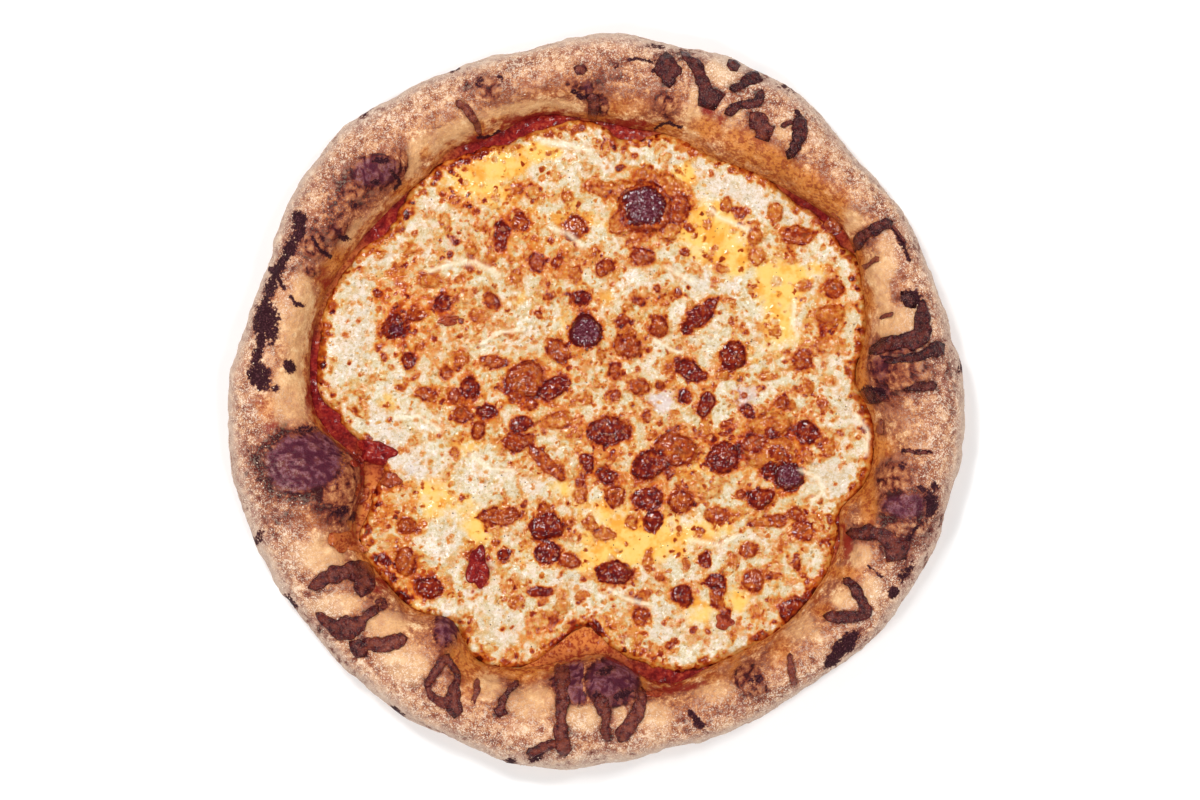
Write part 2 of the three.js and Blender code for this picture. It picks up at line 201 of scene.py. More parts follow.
def makeMesh(name, points, quads, triangles=(), values=None):
    mesh = bpy.data.meshes.new(name)
    quads = np.asarray(quads, dtype=np.int64).reshape(-1, 4)
    triangles = np.asarray(triangles, dtype=np.int64).reshape(-1, 3)
    corners = np.concatenate([quads.ravel(), triangles.ravel()])
    starts = np.concatenate([np.arange(len(quads)) * 4, len(quads) * 4 + np.arange(len(triangles)) * 3])
    mesh.vertices.add(len(points))
    mesh.vertices.foreach_set("co", (np.asarray(points) * 0.001).astype(np.float32).ravel())
    mesh.loops.add(len(corners))
    mesh.loops.foreach_set("vertex_index", corners.astype(np.int32))
    mesh.polygons.add(len(starts))
    mesh.polygons.foreach_set("loop_start", starts.astype(np.int32))
    mesh.polygons.foreach_set("use_smooth", np.ones(len(starts), dtype=bool))
    mesh.update(calc_edges=True)
    mesh.validate()
    for key, numbers in (values or {}).items():
        attribute = mesh.attributes.new(key, "FLOAT", "POINT")
        attribute.data.foreach_set("value", np.asarray(numbers, dtype=np.float32))
    return mesh


def makePiece(name, mesh, material, node=None):
    piece = bpy.data.objects.new(name, mesh)
    bpy.context.scene.collection.objects.link(piece)
    if not mesh.materials:
        mesh.materials.append(material)
    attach(piece, "root")
    if node:
        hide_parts(node)
    print(name, len(mesh.vertices), "vertices,", len(mesh.polygons), "faces")
    return piece


def ringQuads(stations, rows):
    # quads between neighbouring stations of a closed ring of sections, facing out when the rows
    # run from the underside round the outside to the top
    station = np.arange(stations)[:, None]
    row = np.arange(rows - 1)[None, :]
    here = station * rows + row
    there = ((station + 1) % stations) * rows + row
    return np.stack([here, there, there + 1, here + 1], axis=-1).reshape(-1, 4)


def gridNormals(grid):
    # unit normals of a (stations, rows, 3) ring of sections
    round_ = np.roll(grid, -1, axis=0) - np.roll(grid, 1, axis=0)
    across = np.gradient(grid, axis=1)
    normal = np.cross(round_, across)
    return normal / np.maximum(np.linalg.norm(normal, axis=2, keepdims=True), 1e-9)


def hollowness(heights, steps):
    # how far each point of a height grid lies below the average round it; the colours darken by it as painted shade in
    # the hollows
    total = np.zeros_like(heights)
    padded = np.pad(heights, steps, mode="edge")
    count = 0
    for stepX in range(-steps, steps + 1):
        for stepY in range(-steps, steps + 1):
            total += padded[steps + stepX:steps + stepX + heights.shape[0],
                            steps + stepY:steps + stepY + heights.shape[1]]
            count += 1
    return total / count - heights


def surfaceTree(mesh):
    points = [vertex.co.copy() for vertex in mesh.vertices]
    return BVHTree.FromPolygons(points, [tuple(face.vertices) for face in mesh.polygons])


def heightBelow(trees, x, y):
    # height in mm of the highest surface under a place
    found = [tree.ray_cast(Vector((x * 0.001, y * 0.001, 0.2)), Vector((0, 0, -1)))[0] for tree in trees]
    heights = [hit.z * 1000.0 for hit in found if hit is not None]
    return max(heights) if heights else 0.0


# Material helpers: a socket or a fixed value can be fed to any input.

def feed(tree, socket, value):
    if isinstance(value, bpy.types.NodeSocket):
        tree.links.new(value, socket)
    elif socket.type == "RGBA" and len(value) == 3:
        socket.default_value = (*value, 1.0)
    else:
        socket.default_value = value


def newMaterial(name):
    material = bpy.data.materials.new(name)
    material.use_nodes = True
    tree = material.node_tree
    tree.nodes.clear()
    shader = tree.nodes.new("ShaderNodeBsdfPrincipled")
    output = tree.nodes.new("ShaderNodeOutputMaterial")
    tree.links.new(shader.outputs["BSDF"], output.inputs["Surface"])
    return material, tree, shader


def placeNode(tree):
    # the point's own place in millimetres
    coordinates = tree.nodes.new("ShaderNodeTexCoord")
    mapping = tree.nodes.new("ShaderNodeMapping")
    mapping.inputs["Scale"].default_value = (1000.0, 1000.0, 1000.0)
    tree.links.new(coordinates.outputs["Object"], mapping.inputs["Vector"])
    return mapping.outputs["Vector"]


def attributeNode(tree, name):
    node = tree.nodes.new("ShaderNodeAttribute")
    node.attribute_name = name
    return node.outputs["Fac"]


def noiseNode(tree, place, size, detail=2.0, roughness=0.5, shift=0.0):
    if shift:
        moved = tree.nodes.new("ShaderNodeVectorMath")
        feed(tree, moved.inputs[0], place)
        moved.inputs[1].default_value = (shift, shift * 0.7, shift * 0.3)
        place = moved.outputs[0]
    node = tree.nodes.new("ShaderNodeTexNoise")
    feed(tree, node.inputs["Vector"], place)
    node.inputs["Scale"].default_value = 1.0 / size
    node.inputs["Detail"].default_value = detail
    node.inputs["Roughness"].default_value = roughness
    return node.outputs["Fac"]


def cellNode(tree, place, size, output="Distance", feature="F1"):
    node = tree.nodes.new("ShaderNodeTexVoronoi")
    node.feature = feature
    feed(tree, node.inputs["Vector"], place)
    node.inputs["Scale"].default_value = 1.0 / size
    return node.outputs[output]


def mathNode(tree, operation, first, second=0.0, clamp=False):
    node = tree.nodes.new("ShaderNodeMath")
    node.operation = operation
    node.use_clamp = clamp
    feed(tree, node.inputs[0], first)
    feed(tree, node.inputs[1], second)
    return node.outputs[0]


def spreadNode(tree, value, low, high, first=0.0, last=1.0):
    # value from low to high becomes first to last, eased and held at both ends
    node = tree.nodes.new("ShaderNodeMapRange")
    node.interpolation_type = "SMOOTHSTEP"
    for socket, number in zip(node.inputs[:5], (value, low, high, first, last)):
        feed(tree, socket, number)
    return node.outputs[0]


def rampNode(tree, factor, stops):
    node = tree.nodes.new("ShaderNodeValToRGB")
    feed(tree, node.inputs["Fac"], factor)
    elements = node.color_ramp.elements
    while len(elements) < len(stops):
        elements.new(0.5)
    for element, (position, colour) in zip(elements, stops):
        element.position = position
        element.color = (*colour, 1.0)
    return node.outputs["Color"]


def mixNode(tree, factor, below, above, blend="MIX"):
    node = tree.nodes.new("ShaderNodeMix")
    node.data_type = "RGBA"
    node.blend_type = blend
    feed(tree, node.inputs[0], factor)
    feed(tree, node.inputs[6], below)
    feed(tree, node.inputs[7], above)
    return node.outputs[2]


def product(tree, *factors):
    result = factors[0]
    for factor in factors[1:]:
        result = mathNode(tree, "MULTIPLY", result, factor)
    return result


def total(tree, *terms):
    result = terms[0]
    for term in terms[1:]:
        result = mathNode(tree, "ADD", result, term)
    return result


def swing(tree, noise, amount):
    # a noise made to swing to both sides of zero
    return mathNode(tree, "MULTIPLY", mathNode(tree, "SUBTRACT", noise, 0.5), amount)


def between(tree, first, second, amount):
    # a number between two, by amount
    rest = mathNode(tree, "SUBTRACT", 1.0, amount)
    return total(tree, product(tree, first, rest), product(tree, second, amount))


def lineNode(tree, noise, width):
    # 1 on the winding lines where a noise crosses its middle
    apart = mathNode(tree, "ABSOLUTE", mathNode(tree, "SUBTRACT", noise, 0.5))
    return spreadNode(tree, apart, 0.0, width, 1.0, 0.0)


def bumpNode(tree, height, distance, strength=1.0, normal=None):
    # distance in millimetres
    node = tree.nodes.new("ShaderNodeBump")
    node.inputs["Strength"].default_value = strength
    node.inputs["Distance"].default_value = distance * 0.001
    feed(tree, node.inputs["Height"], height)
    if normal is not None:
        feed(tree, node.inputs["Normal"], normal)
    return node.outputs["Normal"]


# The outlines, as the solids have them: (angle, spread, step out in mm).
crustSizes = {
    "radius": 149.0,
    "wellRadius": 115.0,
    "baseThickness": 4.0,
    "rimHeight": 22.0,
    "widestHeight": 9.0,
    "footInset": 8.0,
    "crestShare": 0.52,
    "innerSteepness": 1.2,
    "stations": 1080,
    "underRows": 8,
    "outerRows": 27,
    "innerRows": 30,
}
crustWaves = [
    (22, 14, -2.8), (57, 7, 1.3), (70, 5, -1.2), (86, 5, 1.0), (105, 9, -3.0), (134, 9, 2.8),
    (159, 10, -3.0), (188, 14, 2.2), (214, 14, 1.8), (256, 7, 2.0), (287, 13, -4.4),
    (304, 6, -3.4), (352, 16, 1.9),
]
wellWaves = [
    (5, 8, -9.0), (34, 11, 7.5), (65, 10, -5.0), (102, 8, 4.2), (120, 5, 3.8), (163, 17, 4.5),
    (196, 9, -16.0), (225, 20, -1.5), (246, 4, 2.0), (265, 9, -8.5), (285, 7, 4.0),
    (309, 17, 3.8), (336, 5, -6.5),
]
cheeseWaves = [
    (5, 7, -6.5), (28, 13, 5.5), (60, 9, -3.5), (84, 8, -3.6), (118, 15, 2.8), (142, 6, -3.5),
    (163, 12, 3.2), (197, 11, -18.5), (250, 6, 3.0), (267, 9, -19.0), (286, 6, 3.5),
    (310, 17, 7.5), (339, 6, -3.5), (350, 5, 2.0),
]
# where sauce shows between cheese and rim: angle, spread, how far the gap opens
sauceOpenings = [
    (112, 11, 1.1), (98, 5, 0.4), (83, 6, 0.9), (44, 6, 0.5), (34, 4, 0.5), (139, 6, 0.7),
    (154, 7, 0.5), (170, 8, 0.6), (184, 6, 0.9), (195, 7, 1.2), (265, 11, 1.0), (284, 8, 1.0),
    (331, 6, 0.7), (206, 4, 0.4),
]

# small steps of the outlines that only this model has
wellSteps = [(83, 6, -2.5), (236, 5, -7.5), (273, 7, -7.0)]
edgeWaves = [
    (10, 4, -1.4), (42, 9, -3.9), (70, 5, 3.0), (106, 4, 1.6), (120, 6, -1.2), (134, 4, 1.8),
    (170, 4, -2.0), (190, 4, 1.2), (220, 5, -1.7), (240, 5, 2.3), (265, 4, 1.8), (280, 4, -1.2),
    (311, 5, -2.8), (345, 5, -1.9),
]
edgeRipples = [(0.5, 13, 0)]
crestRipples = [(1.1, 3, 34), (0.7, 7, 115), (0.5, 11, 0)]

# Swellings of the rim: place from the pizza's own middle, half width, half depth, rise (mm).
rimBubbles = [
    (-121, -27, 22, 19, 5.0), (-89, 95, 13, 11, 3.5), (-113, 67, 10, 13, 2.5), (-120, 36, 8, 20, 2.0),
    (124, 13, 17, 14, 4.0), (125, 33, 7, 8, 2.5), (126, -42, 14, 16, 4.0), (1, -116, 17, 12, 5.0),
    (63, -113, 9, 8, 3.0), (-62, -93, 6, 7, 4.0), (27, 118, 11, 10, 2.5), (-5, 128, 8, 7, 2.5),
    (84, 108, 12, 10, 2.0), (-45, 130, 12, 8, 2.0),
]


def crustEdge(angle):
    return crustSizes["radius"] + addWaves(crustWaves + edgeWaves, angle) + addRipples(edgeRipples, angle)


def wellEdge(angle):
    return crustSizes["wellRadius"] + addWaves(wellWaves + wellSteps, angle)


def bubbleRise(x, y):
    rise = np.zeros_like(x)
    for atX, atY, halfX, halfY, height in rimBubbles:
        rise += height * np.exp(-1.6 * (((x - atX) / halfX) ** 2 + ((y - atY) / halfY) ** 2))
    return rise


# What the rim shows, in pixels: (x, y, half length, half width, turn, strength or tone).
rimMarks = {
    "cream": [
        (303, 330, 62, 12, 88, 1.0), (280, 320, 30, 12, 80, 0.6), (290, 395, 30, 22, 80, 0.9),
        (374, 224, 40, 11, 38, 1.0), (414, 165, 8, 22, 0, 0.9), (447, 138, 32, 12, 25, 1.0),
        (532, 112, 50, 11, 5, 1.0), (693, 112, 7, 30, -5, 1.0), (722, 72, 18, 14, 0, 0.9),
        (735, 120, 14, 6, 35, 0.6), (782, 130, 9, 10, 0, 0.7), (660, 139, 22, 5, 0, 0.7),
        (850, 219, 13, 12, 0, 0.9), (878, 268, 18, 14, 0, 0.9), (881, 294, 10, 22, 0, 1.0),
        (905, 318, 20, 13, 40, 1.0), (892, 330, 14, 10, 0, 0.9), (887, 242, 12, 12, 0, 0.6),
        (858, 555, 14, 12, 0, 0.9), (871, 590, 12, 14, 0, 0.9), (846, 600, 14, 9, 0, 0.9),
        (322, 556, 24, 16, 0, 1.0), (335, 605, 28, 12, 10, 0.9), (385, 625, 20, 12, 0, 1.0),
        (405, 664, 24, 18, -20, 1.0), (488, 684, 12, 16, 0, 0.9), (530, 702, 26, 20, 0, 0.75),
        (583, 716, 18, 14, 0, 1.0), (620, 714, 6, 14, 0, 1.0), (656, 716, 16, 14, 0, 0.9),
        (455, 694, 6, 12, 0, 0.5), (470, 745, 20, 8, -15, 0.3), (800, 628, 22, 16, 0, 0.6),
        (715, 690, 24, 14, 0, 0.6), (915, 440, 20, 30, 0, 0.3), (275, 560, 26, 20, 0, 0.3),
    ],
    "oil": [
        (706, 128, 16, 14, 0, 0.9), (742, 148, 22, 14, -40, 1.0), (772, 160, 34, 13, -35, 1.0),
        (815, 190, 28, 14, -50, 1.0), (836, 225, 10, 36, -12, 0.9), (855, 264, 12, 18, 0, 0.9),
        (870, 305, 7, 20, 0, 0.8), (624, 108, 28, 12, 0, 0.6), (664, 128, 24, 6, 0, 0.8),
        (600, 106, 14, 16, 0, 0.5), (479, 130, 6, 10, 0, 0.9), (497, 121, 14, 5, 20, 0.7),
        (426, 153, 6, 9, -20, 0.8), (545, 92, 26, 9, 0, 0.4), (570, 84, 9, 10, 0, 0.5),
        (405, 190, 16, 8, 30, 0.7), (335, 262, 20, 9, 50, 0.8), (325, 285, 9, 20, 15, 0.6),
        (330, 425, 24, 10, -40, 0.8), (350, 450, 12, 26, -20, 0.8), (366, 500, 10, 32, 0, 0.9),
        (370, 555, 12, 22, 0, 0.7), (860, 372, 8, 36, 0, 0.9), (880, 448, 14, 12, 30, 0.9),
        (868, 500, 12, 28, 0, 0.9), (845, 572, 18, 8, 0, 0.8), (822, 610, 12, 10, 0, 0.7),
        (782, 650, 14, 20, 0, 0.7), (735, 668, 8, 12, 0, 0.7), (712, 678, 16, 8, 0, 0.6),
        (466, 660, 22, 14, -20, 0.9), (470, 690, 16, 16, 0, 0.6), (525, 668, 26, 14, 0, 0.9),
        (640, 672, 10, 24, 0, 0.8), (265, 408, 10, 16, 0, 0.7), (275, 296, 14, 12, 0, 0.5),
        (520, 738, 18, 6, 0, 0.4), (590, 746, 16, 6, 0, 0.4), (905, 285, 12, 20, -30, 0.4),
        (830, 150, 16, 30, 40, 0.35), (310, 520, 20, 14, 0, 0.4),
    ],
    "brown": [
        (300, 462, 52, 42, 10, 0.9), (905, 508, 42, 24, 0, 0.7), (610, 72, 32, 20, 0, 0.5), (650, 62, 20, 9, 0, 0.5), (665, 105, 16, 16, 0, 0.7),
        (470, 88, 14, 12, 0, 0.6), (490, 112, 13, 9, 0, 0.4), (345, 205, 34, 26, 40, 0.7),
        (312, 250, 26, 26, 0, 0.6), (335, 190, 30, 22, 30, 0.4), (905, 372, 42, 24, 0, 0.7),
        (896, 470, 22, 16, 0, 0.6), (910, 530, 26, 14, 0, 0.6), (268, 455, 20, 24, 0, 0.5),
        (345, 480, 22, 40, 10, 0.9), (330, 500, 30, 20, 0, 0.6), (855, 640, 22, 14, 40, 0.7),
        (810, 660, 14, 12, 0, 0.5), (690, 720, 26, 12, -20, 0.5), (880, 205, 12, 10, 0, 0.5),
        (275, 525, 22, 14, 40, 0.5), (405, 678, 16, 7, -30, 0.5), (510, 740, 30, 8, 0, 0.4),
        (910, 262, 8, 24, -30, 0.6), (770, 105, 22, 14, 0, 0.45), (590, 745, 40, 10, 0, 0.4),
        (435, 60, 20, 10, 30, 0.3), (950, 390, 8, 40, 0, 0.5), (930, 560, 14, 40, -25, 0.5),
        (440, 740, 40, 10, -25, 0.5), (345, 660, 26, 10, -45, 0.5), (740, 705, 50, 9, 22, 0.4),
    ],
    "soot": [
        (267, 322, 12, 20, 8, 1.0), (259, 376, 9, 13, 15, 1.0), (290, 367, 6, 6, 0, 1.0),
        (276, 388, 5, 4, 30, 0.9), (300, 222, 9, 5, 40, 1.0), (322, 238, 4, 3, 0, 0.7),
        (345, 238, 7, 3, -20, 0.9), (357, 208, 4, 3, 0, 0.7), (845, 645, 17, 9, 45, 1.0),
        (834, 661, 10, 6, 30, 0.9), (893, 593, 6, 5, 30, 1.0), (908, 572, 12, 5, 55, 0.8),
        (931, 506, 7, 12, 0, 0.9), (934, 486, 5, 5, 0, 0.9), (921, 490, 6, 4, -30, 0.7),
        (902, 465, 5, 3, 30, 0.6), (698, 722, 9, 5, -50, 0.9), (690, 713, 5, 3, -40, 0.7),
        (256, 540, 4, 12, -35, 0.7), (395, 712, 10, 4, -20, 0.8), (508, 761, 8, 3, 0, 0.7),
        (535, 757, 9, 4, 10, 0.7), (655, 45, 8, 3, 0, 0.5), (455, 68, 8, 4, 10, 0.6),
        (368, 110, 10, 4, 40, 0.6), (290, 602, 9, 4, -50, 0.7), (797, 112, 3, 5, 20, 1.0),
        (874, 392, 12, 7, -10, 1.0), (380, 161, 8, 3, 10, 0.9), (376, 182, 6, 3, -10, 0.8),
        (338, 511, 10, 6, 20, 0.7), (353, 517, 4, 6, 0, 0.6), (305, 430, 12, 4, 0, 0.6),
        (961, 365, 3, 8, 0, 0.6), (912, 298, 9, 8, 0, 1.0), (605, 672, 10, 5, 20, 0.7),
        (622, 695, 12, 5, 20, 0.8), (600, 697, 8, 5, -20, 0.7), (755, 680, 8, 5, 30, 0.6),
        (905, 245, 5, 10, 30, 0.4), (480, 84, 4, 6, 0, 0.5), (500, 78, 5, 4, 0, 0.5),
        (655, 71, 4, 3, 0, 0.7), (618, 66, 4, 3, 0, 0.5), (786, 88, 10, 3, -30, 0.4),
    ],
    "stain": [
        (535, 117, 42, 4, 8, 0.9), (478, 141, 9, 9, 0, 0.9), (626, 124, 26, 6, 0, 0.8),
        (372, 234, 16, 6, 45, 0.9), (330, 285, 8, 22, 25, 0.6), (313, 340, 5, 30, 8, 0.5),
        (309, 396, 6, 16, -15, 0.8), (324, 416, 16, 6, -35, 0.8), (362, 455, 8, 18, 0, 0.7),
        (345, 541, 20, 12, 0, 0.6), (366, 540, 10, 12, 0, 0.6), (676, 689, 32, 5, 14, 0.9),
        (838, 226, 6, 12, 0, 0.7), (846, 545, 6, 20, 5, 0.8), (712, 118, 14, 8, -20, 0.6),
        (705, 106, 12, 6, 0, 0.6), (596, 108, 12, 14, 0, 0.5), (865, 365, 5, 20, 0, 0.4),
        (650, 672, 8, 18, 0, 0.6), (545, 670, 6, 8, 0, 0.5), (270, 424, 8, 8, 0, 0.6),
        (262, 402, 4, 10, 0, 0.6), (385, 585, 14, 14, 0, 0.7), (316, 270, 12, 5, -10, 0.5),
    ],
}
rimLines = [        # thin dark cracks and the burnt edge: pixels, half width
    ([(297, 217), (301, 231), (291, 246), (281, 262), (275, 276), (268, 293)], 5.5),
    ([(266, 300), (261, 345), (256, 362)], 4.5), ([(313, 238), (320, 250), (331, 257)], 1.8),
    ([(292, 298), (296, 304), (304, 306)], 2.0), ([(882, 357), (905, 360), (917, 355)], 1.6),
    ([(917, 526), (906, 542)], 2.4), ([(573, 91), (582, 98), (592, 95)], 2.2),
    ([(655, 129), (664, 124), (682, 127)], 1.5), ([(390, 170), (402, 184), (396, 190)], 2.0),
    ([(478, 138), (492, 136), (500, 131)], 1.5), ([(270, 268), (284, 288)], 2.4),
    ([(892, 225), (903, 238), (910, 262)], 2.0), ([(868, 566), (884, 577)], 1.2),
    ([(902, 451), (930, 452)], 1.6), ([(628, 60), (655, 60)], 1.4),
]
rimChars = [
    (355, 190, 18, 11, 20, 0.45), (400, 166, 9, 20, 0, 0.60), (376, 172, 29, 19, 10, 0.84),
    (343, 482, 24, 38, 12, 0.50), (335, 512, 15, 9, 10, 0.66), (302, 463, 42, 33, 12, 0.98),
    (905, 374, 28, 17, 0, 0.42), (881, 366, 12, 22, 0, 0.74), (879, 393, 17, 11, 0, 0.84),
    (900, 346, 28, 9, 8, 0.70), (894, 478, 19, 16, 0, 0.45), (908, 528, 22, 10, 0, 0.42),
    (907, 506, 30, 15, 0, 1.0), (898, 548, 17, 14, 0, 0.82), (575, 683, 27, 24, 0, 0.84),
    (612, 682, 31, 28, 0, 1.0), (748, 678, 16, 17, 0, 0.64), (758, 689, 14, 8, 0, 0.5),
    (446, 630, 14, 19, 0, 0.84), (572, 85, 9, 9, 0, 0.45), (587, 88, 9, 10, 0, 0.80),
    (488, 88, 16, 14, 0, 0.42), (312, 272, 12, 7, -10, 0.55), (337, 230, 12, 10, 20, 0.72),
    (312, 245, 13, 14, 0, 0.55), (601, 104, 11, 14, 10, 0.66), (665, 104, 11, 12, 0, 0.42),
]


def buildCrustShape():
    # sections from the middle of the underside, round the outside, over the crest, to the well
    size = crustSizes
    stations = size["stations"]
    angle = np.arange(stations) * 360.0 / stations
    turn = np.radians(angle)[:, None]
    inner, outer = wellEdge(angle)[:, None], crustEdge(angle)[:, None]
    crest = lerp(inner, outer, size["crestShare"])
    top = (size["rimHeight"] + addRipples(crestRipples, angle))[:, None]
    foot = outer - size["footInset"]

    flatShares = np.array([0.02, 0.2, 0.38, 0.55, 0.7, 0.82, 0.92])[None, :]
    under = np.radians(np.linspace(0, 90, size["underRows"]))[None, :]
    outside = np.radians(np.linspace(0, 90, size["outerRows"]))[None, 1:]
    inside = np.radians(np.linspace(90, 0, size["innerRows"]))[None, 1:]
    floorShares = np.array([0.985, 0.93, 0.7, 0.35, 0.02])[None, :]

    radius = np.concatenate([
        foot * flatShares,
        foot + size["footInset"] * np.sin(under),
        lerp(crest, outer, np.cos(outside)),
        lerp(crest, inner, np.cos(inside)),
        inner * floorShares,
    ], axis=1)
    swell = np.concatenate([
        np.zeros((stations, flatShares.size + under.size)),
        np.sin(outside) + 0 * crest,
        np.sin(inside) ** size["innerSteepness"] + 0 * crest,
        np.zeros((stations, floorShares.size)),
    ], axis=1)
    height = np.concatenate([
        0 * foot * flatShares,
        size["widestHeight"] * (1 - np.cos(under)) + 0 * foot,
        lerp(size["widestHeight"], top, np.sin(outside)),
        lerp(size["baseThickness"], top, np.sin(inside) ** size["innerSteepness"]),
        size["baseThickness"] + 0 * inner * floorShares,
    ], axis=1)
    place = np.concatenate([       # -1 at the well, 0 on the crest, 1 at the widest edge, 2 below
        np.full(flatShares.size, 2.0),
        lerp(2.0, 1.0, np.linspace(0, 1, under.size)),
        np.cos(outside)[0],
        -np.cos(inside)[0],
        np.full(floorShares.size, -1.0),
    ])[None, :] + 0 * radius
    x, y = radius * np.cos(turn), radius * np.sin(turn)
    height = height + swell * bubbleRise(x.ravel(), y.ravel()).reshape(x.shape)
    grid = np.stack([x, y, height], axis=2)
    return grid, swell, place


crustRelief = {"lumps": 1.2, "dimples": 0.70, "grain": 0.34, "cracks": 0.55, "char": 0.8}


def buildCrust(material):
    grid, swell, place = buildCrustShape()
    shape = grid.shape[:2]
    points = grid.reshape(-1, 3)
    swellFlat, placeFlat = swell.ravel(), place.ravel()
    above = smoothStep(placeFlat, 1.9, 1.0) * smoothStep(placeFlat, -0.99, -0.86)
    pixelX, pixelY = toPhoto(points + np.array([*view["middleInFrame"], 0.0]))
    ragged = 3.2 * fractalNoise(points, 7.0, 3, 11)
    raggedToo = 3.2 * fractalNoise(points, 7.0, 3, 23)
    charDepth, charTone, charSwell, charHalo = blisterField(pixelX + ragged, pixelY + raggedToo, rimChars, 0.10, 0.3)
    marks = {
        "cream": patchField(pixelX + ragged, pixelY + raggedToo, rimMarks["cream"]),
        "oil": patchField(pixelX + ragged, pixelY + raggedToo, rimMarks["oil"]),
        "brown": patchField(pixelX + ragged, pixelY + raggedToo, rimMarks["brown"]),
        "soot": np.maximum(
            patchField(pixelX + 0.9 * ragged, pixelY + 0.9 * raggedToo, rimMarks["soot"], 6.0),
            lineField(pixelX + 0.7 * ragged, pixelY + 0.7 * raggedToo, rimLines)),
        "stain": patchField(pixelX + ragged, pixelY + raggedToo, rimMarks["stain"]),
    }
    visible = (placeFlat < 1.2).astype(float)
    angleFlat = np.degrees(np.arctan2(points[:, 1], points[:, 0])) % 360.0
    saucy = np.clip(addWaves(sauceOpenings, angleFlat), 0.0, 1.0)
    beside = lineField(pixelX + ragged, pixelY + raggedToo,
                       [(strip["path"], 0.62 * max(strip["widths"])) for strip in rimStrips])
    marks["brown"] = np.maximum(marks["brown"], 0.85 * beside)
    for key in marks:
        marks[key] = marks[key] * visible
    inChar = smoothStep(charDepth, 0.0, 1.5) * visible
    calm = 1.0 - 0.30 * marks["cream"]
    wrinkles = np.clip(ridgedNoise(points * np.array([1.0, 0.6, 1.0]), 2.9, 61) - 0.35, 0, 1)
    relief = above * (
        crustRelief["lumps"] * fractalNoise(points, 17.0, 2, 31)
        + crustRelief["dimples"] * fractalNoise(points, 6.0, 2, 41) * calm
        + crustRelief["grain"] * fractalNoise(points, 2.3, 2, 51) * calm * (0.6 + 0.4 * np.clip(placeFlat, 0, 1))
        + crustRelief["char"] * charSwell * visible
        - crustRelief["cracks"] * inChar * wrinkles * 1.5
        + 0.30 * inChar * fractalNoise(points, 2.6, 2, 71)
        - 0.5 * marks["soot"] * np.clip(fractalNoise(points, 2.0, 2, 81), 0, 1)
    )
    normals = gridNormals(grid).reshape(-1, 3)
    points = points + normals * relief[:, None]
    points[:, 2] = np.maximum(points[:, 2], 0.0)
    points = points + np.array([*view["middleInFrame"], 0.0])
    # painted shade: how deep each point sits in the relief, which the dough colour darkens as if in shadow
    hollowShade = hollowness(relief.reshape(shape), 3).ravel()

    # the two poles are closed with a fan
    stations, rows = shape
    quads = ringQuads(stations, rows)
    ring = np.arange(stations)
    following = (ring + 1) % stations
    bottomPole, topPole = len(points), len(points) + 1
    middle = view["middleInFrame"]
    points = np.concatenate([points, [[*middle, 0.0], [*middle, crustSizes["baseThickness"]]]])
    triangles = np.concatenate([
        np.stack([following * rows, ring * rows, np.full(stations, bottomPole)], axis=1),
        np.stack([ring * rows + rows - 1, following * rows + rows - 1, np.full(stations, topPole)], axis=1),
    ])
    values = {
        "charDepth": charDepth, "charTone": charTone, "charHalo": charHalo, "rimPlace": placeFlat,
        "hollowShade": hollowShade, "saucy": saucy, "wrinkle": wrinkles * inChar,
        **marks,
    }
    values = {key: np.append(numbers, numbers[[0, -1]]) for key, numbers in values.items()}
    mesh = makeMesh("crustDough", points, quads, triangles, values)
    return makePiece("crustDough", mesh, material, "crust")


doughLooks = {
    "toasting": [           # from floury, through tan and red-brown, to burnt
        (0.00, (0.80, 0.60, 0.42)), (0.10, (0.74, 0.49, 0.31)), (0.20, (0.66, 0.38, 0.215)),
        (0.31, (0.56, 0.285, 0.150)), (0.42, (0.475, 0.207, 0.100)), (0.52, (0.385, 0.143, 0.066)),
        (0.62, (0.295, 0.090, 0.042)), (0.72, (0.212, 0.053, 0.028)), (0.82, (0.144, 0.027, 0.018)),
        (0.91, (0.084, 0.011, 0.010)), (1.00, (0.036, 0.004, 0.006)),
    ],
    "cream": (0.70, 0.44, 0.235),
    "rosy": (0.42, 0.17, 0.11),
    "fleck": (0.92, 0.72, 0.54),
    "grey": (0.55, 0.43, 0.355),
    "oil": (0.60, 0.200, 0.034),
    "rust": (0.33, 0.062, 0.011),
    "purple": (0.078, 0.010, 0.026),
    # the next colour is a painted highlight for the charred bubbles
    "lilac": (0.225, 0.082, 0.112),
    "stain": (0.23, 0.012, 0.008),
    "soot": (0.018, 0.001, 0.005),
    "ash": (0.085, 0.024, 0.032),
    "inward": (1.05, 0.97, 0.80),
    "outward": (0.98, 1.02, 1.10),
}


